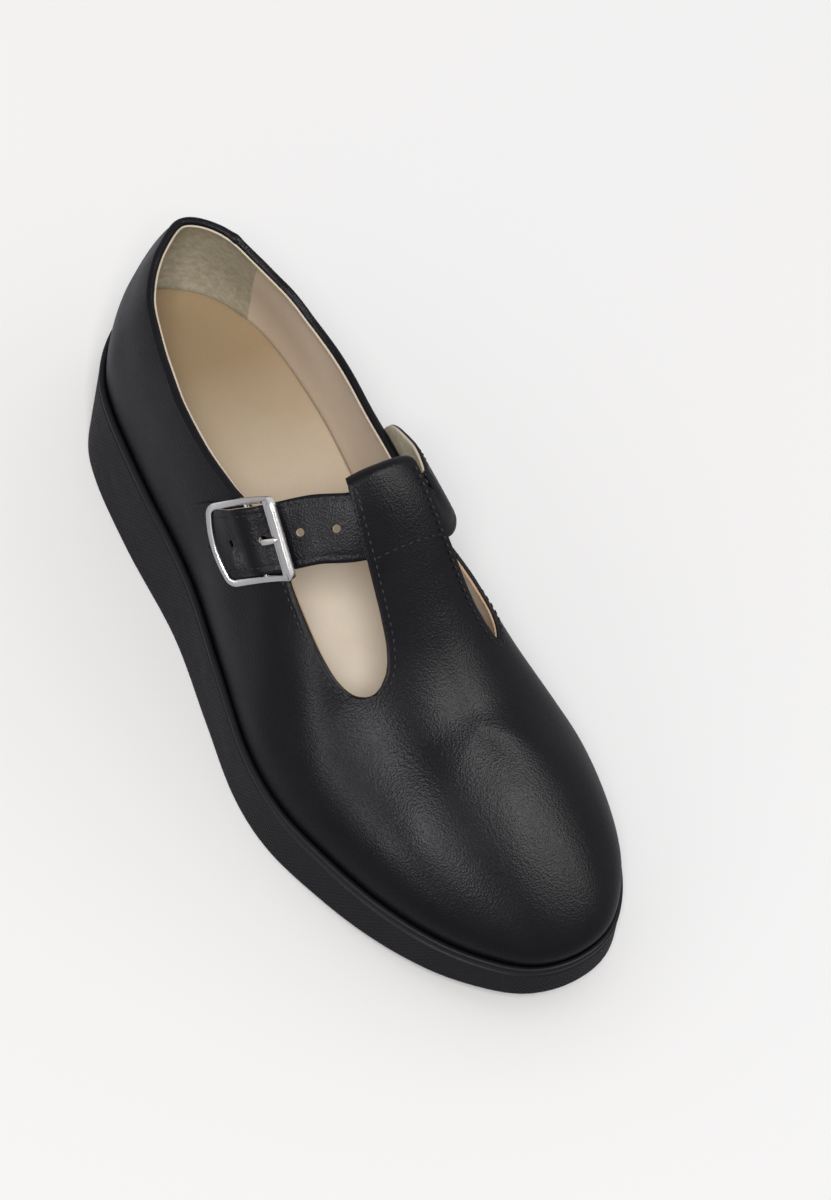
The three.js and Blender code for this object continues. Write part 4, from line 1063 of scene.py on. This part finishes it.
def buildBuckle(s):
    halfWidth = strapSizes["width"] / 2 + s["sideRoom"] + s["wireWidth"] / 2
    corners = [(1, -1), (1, 1), (-1, 1), (-1, -1)]
    track = []
    for i, (a, b) in enumerate(corners):
        start = math.atan2(b, a) - math.pi / 4
        for u in np.linspace(0, 1, 9):
            angle = start + u * math.pi / 2
            track.append((a * (s["reach"] - s["corner"]) + s["corner"] * math.cos(angle),
                          b * (halfWidth - s["corner"]) + s["corner"] * math.sin(angle)))
        end = np.array(track[-1])
        c, d = corners[(i + 1) % 4]
        angle = math.atan2(d, c) - math.pi / 4
        begin = np.array([c * (s["reach"] - s["corner"]) + s["corner"] * math.cos(angle),
                          d * (halfWidth - s["corner"]) + s["corner"] * math.sin(angle)])
        track += [tuple(end + (begin - end) * u) for u in np.linspace(0, 1, 12)[1:-1]]
    track = np.array(track)
    e1, e2 = track.T
    bowed = np.where(e1 < 0, e1 - s["bow"] * (1 - (e2 / halfWidth) ** 2) * smoothStep(-6, -12, e1), e1)
    raised = np.where(e1 < 0, s["raiseRear"], s["raiseFront"]) * (e1 / s["reach"]) ** 2
    path = np.column_stack([bowed, e2, raised])
    run = np.roll(path, -1, 0) - np.roll(path, 1, 0)
    run[:, 2] = 0
    run = unit(run)
    out = np.column_stack([run[:, 1], -run[:, 0], np.zeros(len(run))])
    w, h, r = s["wireWidth"] / 2, s["wireHeight"] / 2, s["wireRound"]
    section = []
    for a, b, start in ((1, 1, 0), (-1, 1, 90), (-1, -1, 180), (1, -1, 270)):
        for turn in (0, 30, 60, 90):
            angle = math.radians(start + turn)
            section.append((a * (w - r) + r * math.cos(angle), b * (h - r) + r * math.sin(angle)))
    heavy = smoothStep(s["reach"] - 3, s["reach"] - 0.6, e1)[:, None]
    tall = np.array([0, 0, 1]) * (1 + heavy * s["frontTaller"])
    rings = np.stack([path + out * (o + heavy * (o - w) * s["frontWider"]) + tall * n for o, n in section], 1)
    bm = bmesh.new()
    addSweep(bm, inBuckle(rings), hoop=True)
    # The middle bar.
    spin = Matrix.Rotation(math.pi / 2, 4, "X")
    bmesh.ops.create_cone(bm, cap_ends=True, segments=24, radius1=s["barRadius"] * mm,
                          radius2=s["barRadius"] * mm, depth=2 * halfWidth * mm,
                          matrix=buckleMatrix() @ spin)
    # The rest under the prong's tip, with its notch.
    low, high = s["reach"] - s["restWidth"], s["reach"] - 0.2
    notch = s["prongWidth"] / 2 + s["prongRoom"]
    deep = low + s["restWidth"] * 0.42
    shape = [(low, -halfWidth), (high, -halfWidth), (high, halfWidth), (low, halfWidth),
             (low, notch), (deep, notch), (deep, -notch), (low, -notch)]
    level = s["raiseFront"] - s["restThickness"] / 2
    corners = [bm.verts.new(Vector(inBuckle((a, b, level)) * mm)) for a, b in shape]
    plate = bmesh.ops.contextual_create(bm, geom=corners)["faces"]
    lifted = bmesh.ops.extrude_face_region(bm, geom=plate)["geom"]
    up = Vector(buckleAxes[2] * s["restThickness"] * mm)
    bmesh.ops.translate(bm, verts=[v for v in lifted if isinstance(v, bmesh.types.BMVert)], vec=up)
    bmesh.ops.recalc_face_normals(bm, faces=bm.faces)
    edges = list({e for v in lifted if isinstance(v, bmesh.types.BMVert) for e in v.link_edges})
    bmesh.ops.bevel(
        bm, geom=edges, offset=s["restBevel"] * mm, segments=2, profile=0.5, affect="EDGES", material=-1)
    bmesh.ops.recalc_face_normals(bm, faces=bm.faces)
    for face in bm.faces:
        face.smooth = len(face.verts) < 8
    newPiece("buckle_ring", bm, [silver], "buckle_frame")

    # The prong.
    eye = s["eye"] - s["prongHeight"] / 2
    rest = s["raiseFront"] + s["restThickness"] / 2 + s["prongRoom"] + s["prongHeight"] / 2
    restCentre = s["reach"] - s["restWidth"] / 2
    hole = strapSizes["prongHole"]
    loop = [math.radians(a) for a in (-200, -240, -280, -320, -360)]
    points = [(eye * math.cos(a), eye * math.sin(a), 0) for a in loop]
    points += [(hole * 0.6, rest * 0.2, 0), (hole, rest * 0.75, 0), (hole + 1.8, rest + 0.6, 0),
               (restCentre - 0.4, rest + 0.1, 0), (restCentre + 0.5, rest, 0)]
    t = np.linspace(0, 1, 70)
    line = curveAt(np.array(points), t)
    run = unit(np.gradient(line, axis=0))
    taper = 1 - 0.35 * smoothStep(0.78, 1, t)
    angles = np.linspace(0, 2 * math.pi, 16, endpoint=False)
    soft = lambda v: np.sign(v) * np.abs(v) ** 0.7
    rings = []
    for point, direction, scale in zip(line, run, taper):
        wideBy = soft(np.cos(angles)) * s["prongWidth"] / 2 * scale
        highBy = soft(np.sin(angles)) * s["prongHeight"] / 2 * scale
        along, off = point[0] - direction[1] * highBy, point[1] + direction[0] * highBy
        rings.append(np.column_stack([along, wideBy, off]))
    bm = bmesh.new()
    addSweep(bm, inBuckle(np.array(rings)))
    closeUp(bm)
    newPiece("buckle_tongue", bm, [silver], "buckle_prong")


buildBuckle(buckleSizes)

# The buckle's tab.
tabTable = tableOf("order rearAt rearClimb frontAt frontClimb lift", [
    (0, 0.338, 0.108, 0.344, 0.116, 0), (0.2, 0.345, 0.165, 0.373, 0.168, 0),
    (0.45, 0.357, 0.25, 0.395, 0.21, 0), (0.75, 0.378, 0.38, 0.411, 0.31, 0),
    (1, 0.4005, 0.485, 0.43, 0.424, 1),
])


def tabPlace(order, across, lift):
    column = {name: blend(tabTable, name, order) for name in tabTable}
    at = column["rearAt"] + (column["frontAt"] - column["rearAt"]) * across
    climb = column["rearClimb"] + (column["frontClimb"] - column["rearClimb"]) * across
    rise = strapSizes["barLift"] - buckleSizes["sleeve"] - last["fit"]
    up = last["fit"] + column["lift"] * rise + lift
    return skin(aroundAt("lateral", at), climb, up), skinNormal(aroundAt("lateral", at), climb)


def buildTab(s):
    orders, across = np.linspace(0, 1, 60), np.linspace(0, 1, 25)
    rings = []
    for order in orders:
        top = tabPlace(np.full(25, order), across, s["tab"])[0]
        low = tabPlace(np.full(25, order), across, 0.0)[0]
        soft = tabPlace(np.full(2, order), np.array([0.0, 1.0]), s["tab"] * 0.75)[0]
        inner = top.copy()
        inner[0], inner[-1] = (top[0] * 0.985 + top[12] * 0.015), (top[-1] * 0.985 + top[12] * 0.015)
        rings.append(np.concatenate([low, soft[1:], inner[::-1], soft[:1]]))
    bm = bmesh.new()
    addSweep(bm, np.array(rings))
    closeUp(bm)
    # The roll round the middle bar, open in its middle for the prong.
    half, slot = strapSizes["width"] * 0.4, s["prongWidth"] / 2 + s["prongRoom"]
    spin = Matrix.Rotation(math.pi / 2, 4, "X")
    for way in (-1, 1):
        middle = way * (half + slot) / 2
        bmesh.ops.create_cone(
            bm, cap_ends=True, segments=32, radius1=s["sleeve"] * mm, radius2=s["sleeve"] * mm,
            depth=(half - slot) * mm,
            matrix=buckleMatrix() @ Matrix.Translation((0, middle * mm, 0)) @ spin)
    bm.normal_update()
    middle = skinNormal(aroundAt("lateral", 0.375), 0.28)
    for face in bm.faces:
        facing = abs(np.array(face.normal) @ middle)
        face.smooth = facing > 0.55 or len(face.verts) == 4
        # The tab's side faces take the paler edge leather, a painted highlight of its edge.
        if facing < 0.5:
            face.material_index = 1
    newPiece("tab_leather", bm, [blackLeather, edgeDyeAndHighlight], "buckle_tab")


buildTab(buckleSizes)

# Stitches.
stitchSizes = {
    "length": 1.75, "width": 0.5, "height": 0.42, "pitch": 2.5, "inset": 2.2, "crossRow": 0.4835,
}


def sewLine(bm, path, normals, s):
    steps = runLengths(path)
    count = int(steps[-1] / s["pitch"])
    for distance in (np.arange(count) + 0.5) * (steps[-1] / count):
        point = np.array([np.interp(distance, steps, path[:, k]) for k in range(3)])
        up = unit(np.array([np.interp(distance, steps, normals[:, k]) for k in range(3)]))
        ahead = np.array([np.interp(distance + 0.5, steps, path[:, k]) for k in range(3)])
        behind = np.array([np.interp(distance - 0.5, steps, path[:, k]) for k in range(3)])
        along = ahead - behind
        along = unit(along - up * (along @ up))
        turn = Matrix((along, np.cross(up, along), up)).transposed().to_4x4()
        turn.translation = (point + up * 0.02) * mm
        size = Matrix.Diagonal((s["length"] * mm, s["width"] * mm, s["height"] * mm, 1))
        bmesh.ops.create_uvsphere(bm, u_segments=8, v_segments=5, radius=0.5, matrix=turn @ size)


def besideEdge(side, ats, climbs, inset):
    onBar = climbs > 0.7
    placed = np.where(onBar, squaredAt(side, ats, climbs), ats)
    points = skin(aroundAt(side, placed), climbs)
    points = points + np.where(onBar[..., None], standOff(side, ats, climbs), 0)
    normals = skinNormal(aroundAt(side, placed), climbs)
    travel = unit(np.gradient(points, axis=0))
    away = unit(np.cross(travel, normals)) * inset
    return points + away, normals


def buildStitches(s):
    bm = bmesh.new()
    for side in sides:
        cut = cutOuts[side]
        tip = cut["at"][-1]
        middle = (cut["outer"][-1] + cut["inner"][-1]) / 2
        down = sineEnd(0.428, tip, 90)
        up = sineEnd(0.4365, tip, 90)[::-1][1:]
        climbs = np.concatenate([blend(cut, "outer", down[:-1]), [middle], blend(cut, "inner", up)])
        ats = np.concatenate([down, up])
        inset = s["inset"] * (1 if side == "lateral" else -1)
        path, normals = besideEdge(side, ats, climbs, inset)
        smooth = path.copy()
        for _ in range(14):
            smooth[1:-1] = (smooth[:-2] + smooth[1:-1] * 2 + smooth[2:]) / 4
        sewLine(bm, smooth, normals, s)
    # Across the T-bar, in front of the strap.
    lateral, medial = np.linspace(0.86, 1, 12), np.linspace(1, 0.765, 16)[1:]
    points, normals = [], []
    for side, climbs in (("lateral", lateral), ("medial", medial)):
        around = aroundAt(side, squaredAt(side, s["crossRow"], climbs))
        points.append(skin(around, climbs) + standOff(side, s["crossRow"], climbs))
        normals.append(skinNormal(around, climbs))
    points, normals = np.concatenate(points), np.concatenate(normals)
    sewLine(bm, points, normals, s)
    bareTop = strapSizes["thickness"] / 2
    for way in (-1, 1):
        for start, end in ((14, 52), (74, strapLengths[-1] - 3)):
            distances = np.linspace(start, end, 120)
            _, _, _, _, order = strapFrame(distances)
            width = blend(strapWidths, "rear" if way > 0 else "front", order)
            across = way * (1 - strapSizes["stitchInset"] / (width * strapSizes["width"] / 2))
            place, outward = strapPlace(distances, across, np.full(120, bareTop - 0.05))
            sewLine(bm, place, outward, s)
    for across, start, end in ((0.1, 0.12, 0.8), (0.9, 0.2, 0.8)):
        orders = np.linspace(start, end, 60)
        points, normals = tabPlace(orders, np.full(60, across), buckleSizes["tab"])
        sewLine(bm, points, normals, s)
    for face in bm.faces:
        face.smooth = True
    newPiece("stitches", bm, [thread], "upper")


buildStitches(stitchSizes)

# Floor, light and camera.
studio = {
    "world": 0.47, "worldInGloss": 0.72, "worldColour": (0.985, 0.985, 1.0, 1),
    "paper": (0.9, 0.9, 0.9, 1), "paperWarm": (0.9, 0.885, 0.87, 1),
    "paperInGloss": (0.42, 0.42, 0.44, 1), "paperReach": 6,
}
floorLook, tree, shader = newMaterial("floorPaper", Roughness=0.9, Specular_IOR_Level=0.1)
tone = addNode(tree, "ShaderNodeTexNoise", {
    "Vector": objectPoint(tree), "Scale": 3.0, "Detail": 1.0,
}).outputs["Fac"]
paper = mixColour(tree, tone, studio["paper"], studio["paperWarm"])
# The paper is darker in reflections, so that the leather beside it stays black.
mirrored = addNode(tree, "ShaderNodeLightPath").outputs["Is Glossy Ray"]
tree.links.new(mixColour(tree, mirrored, paper, studio["paperInGloss"]), shader.inputs["Base Color"])
bm = bmesh.new()
bmesh.ops.create_grid(bm, x_segments=4, y_segments=4, size=studio["paperReach"])
mesh = bpy.data.meshes.new("floor")
bm.to_mesh(mesh)
bm.free()
mesh.materials.append(floorLook)
floor = bpy.data.objects.new("floor", mesh)
scene.collection.objects.link(floor)

world = bpy.data.worlds.new("studio")
world.use_nodes = True
backdrop = world.node_tree.nodes["Background"]
backdrop.inputs["Color"].default_value = studio["worldColour"]
inGloss = addNode(world.node_tree, "ShaderNodeLightPath").outputs["Is Glossy Ray"]
level = ranged(world.node_tree, inGloss, 0, 1, studio["world"], studio["worldInGloss"])
world.node_tree.links.new(level, backdrop.inputs["Strength"])
scene.world = world
scene.view_settings.view_transform = "Standard"

# Each box stands at an azimuth and elevation seen from the shoe. One kind shows in gloss alone,
# the other lights the dull surfaces alone.
softBoxes = [
    # name, azimuth, elevation, distance, width, height, power, colour, seen in
    ("outerBox", -62, 48, 2.6, 0.85, 0.8, 38, (1, 1, 1), "gloss"),
    ("innerBox", 50, 62, 2.6, 1.1, 0.8, 40, (1, 0.995, 0.985), "gloss"),
    ("outerStrip", -84, 13, 2.4, 0.9, 0.3, 16, (1, 1, 1), "gloss"),
    ("innerStrip", 47, 40, 2.6, 0.5, 0.5, 14, (1, 0.97, 0.92), "gloss"),
    ("cameraFill", -38, 57, 9.0, 2.4, 2.4, 550, (1, 0.995, 0.99), "dull"),
]
aim = Vector((0.1, 0, 0.04))
for name, azimuth, elevation, distance, width, height, power, colour, seenIn in softBoxes:
    light = bpy.data.lights.new(name, "AREA")
    light.shape, light.size, light.size_y = "RECTANGLE", width, height
    light.energy, light.color = power, colour
    lamp = bpy.data.objects.new(name, light)
    a, e = math.radians(azimuth), math.radians(elevation)
    away = Vector((math.cos(a) * math.cos(e), math.sin(a) * math.cos(e), math.sin(e)))
    lamp.location = aim + away * distance
    lamp.rotation_euler = away.to_track_quat("Z", "Y").to_euler()
    lamp.visible_diffuse, lamp.visible_glossy = seenIn == "dull", seenIn == "gloss"
    scene.collection.objects.link(lamp)

view = {
    "target": (0.0965, 0, 0.035), "turn": -39.58, "rise": 54.74, "roll": 12.7, "distance": 1.445,
    "lens": 142.23, "shiftX": 0.0604, "shiftY": 0.00925,
}
turn, rise, roll = (math.radians(view[key]) for key in ("turn", "rise", "roll"))
back = Vector((math.cos(rise) * math.cos(turn), math.cos(rise) * math.sin(turn), math.sin(rise)))
right = Vector((-math.sin(turn), math.cos(turn), 0))
upward = back.cross(right)
rolledRight = right * math.cos(roll) + upward * math.sin(roll)
rolledUp = upward * math.cos(roll) - right * math.sin(roll)
camera = bpy.data.objects.new("camera", bpy.data.cameras.new("camera"))
camera.data.lens = view["lens"]
camera.data.shift_x, camera.data.shift_y = view["shiftX"], view["shiftY"]
camera.rotation_mode = "QUATERNION"
camera.rotation_quaternion = Matrix((rolledRight, rolledUp, back)).transposed().to_quaternion()
camera.location = Vector(view["target"]) + back * view["distance"]
scene.collection.objects.link(camera)
scene.camera = camera
print("studio: floor, soft boxes and camera ready")
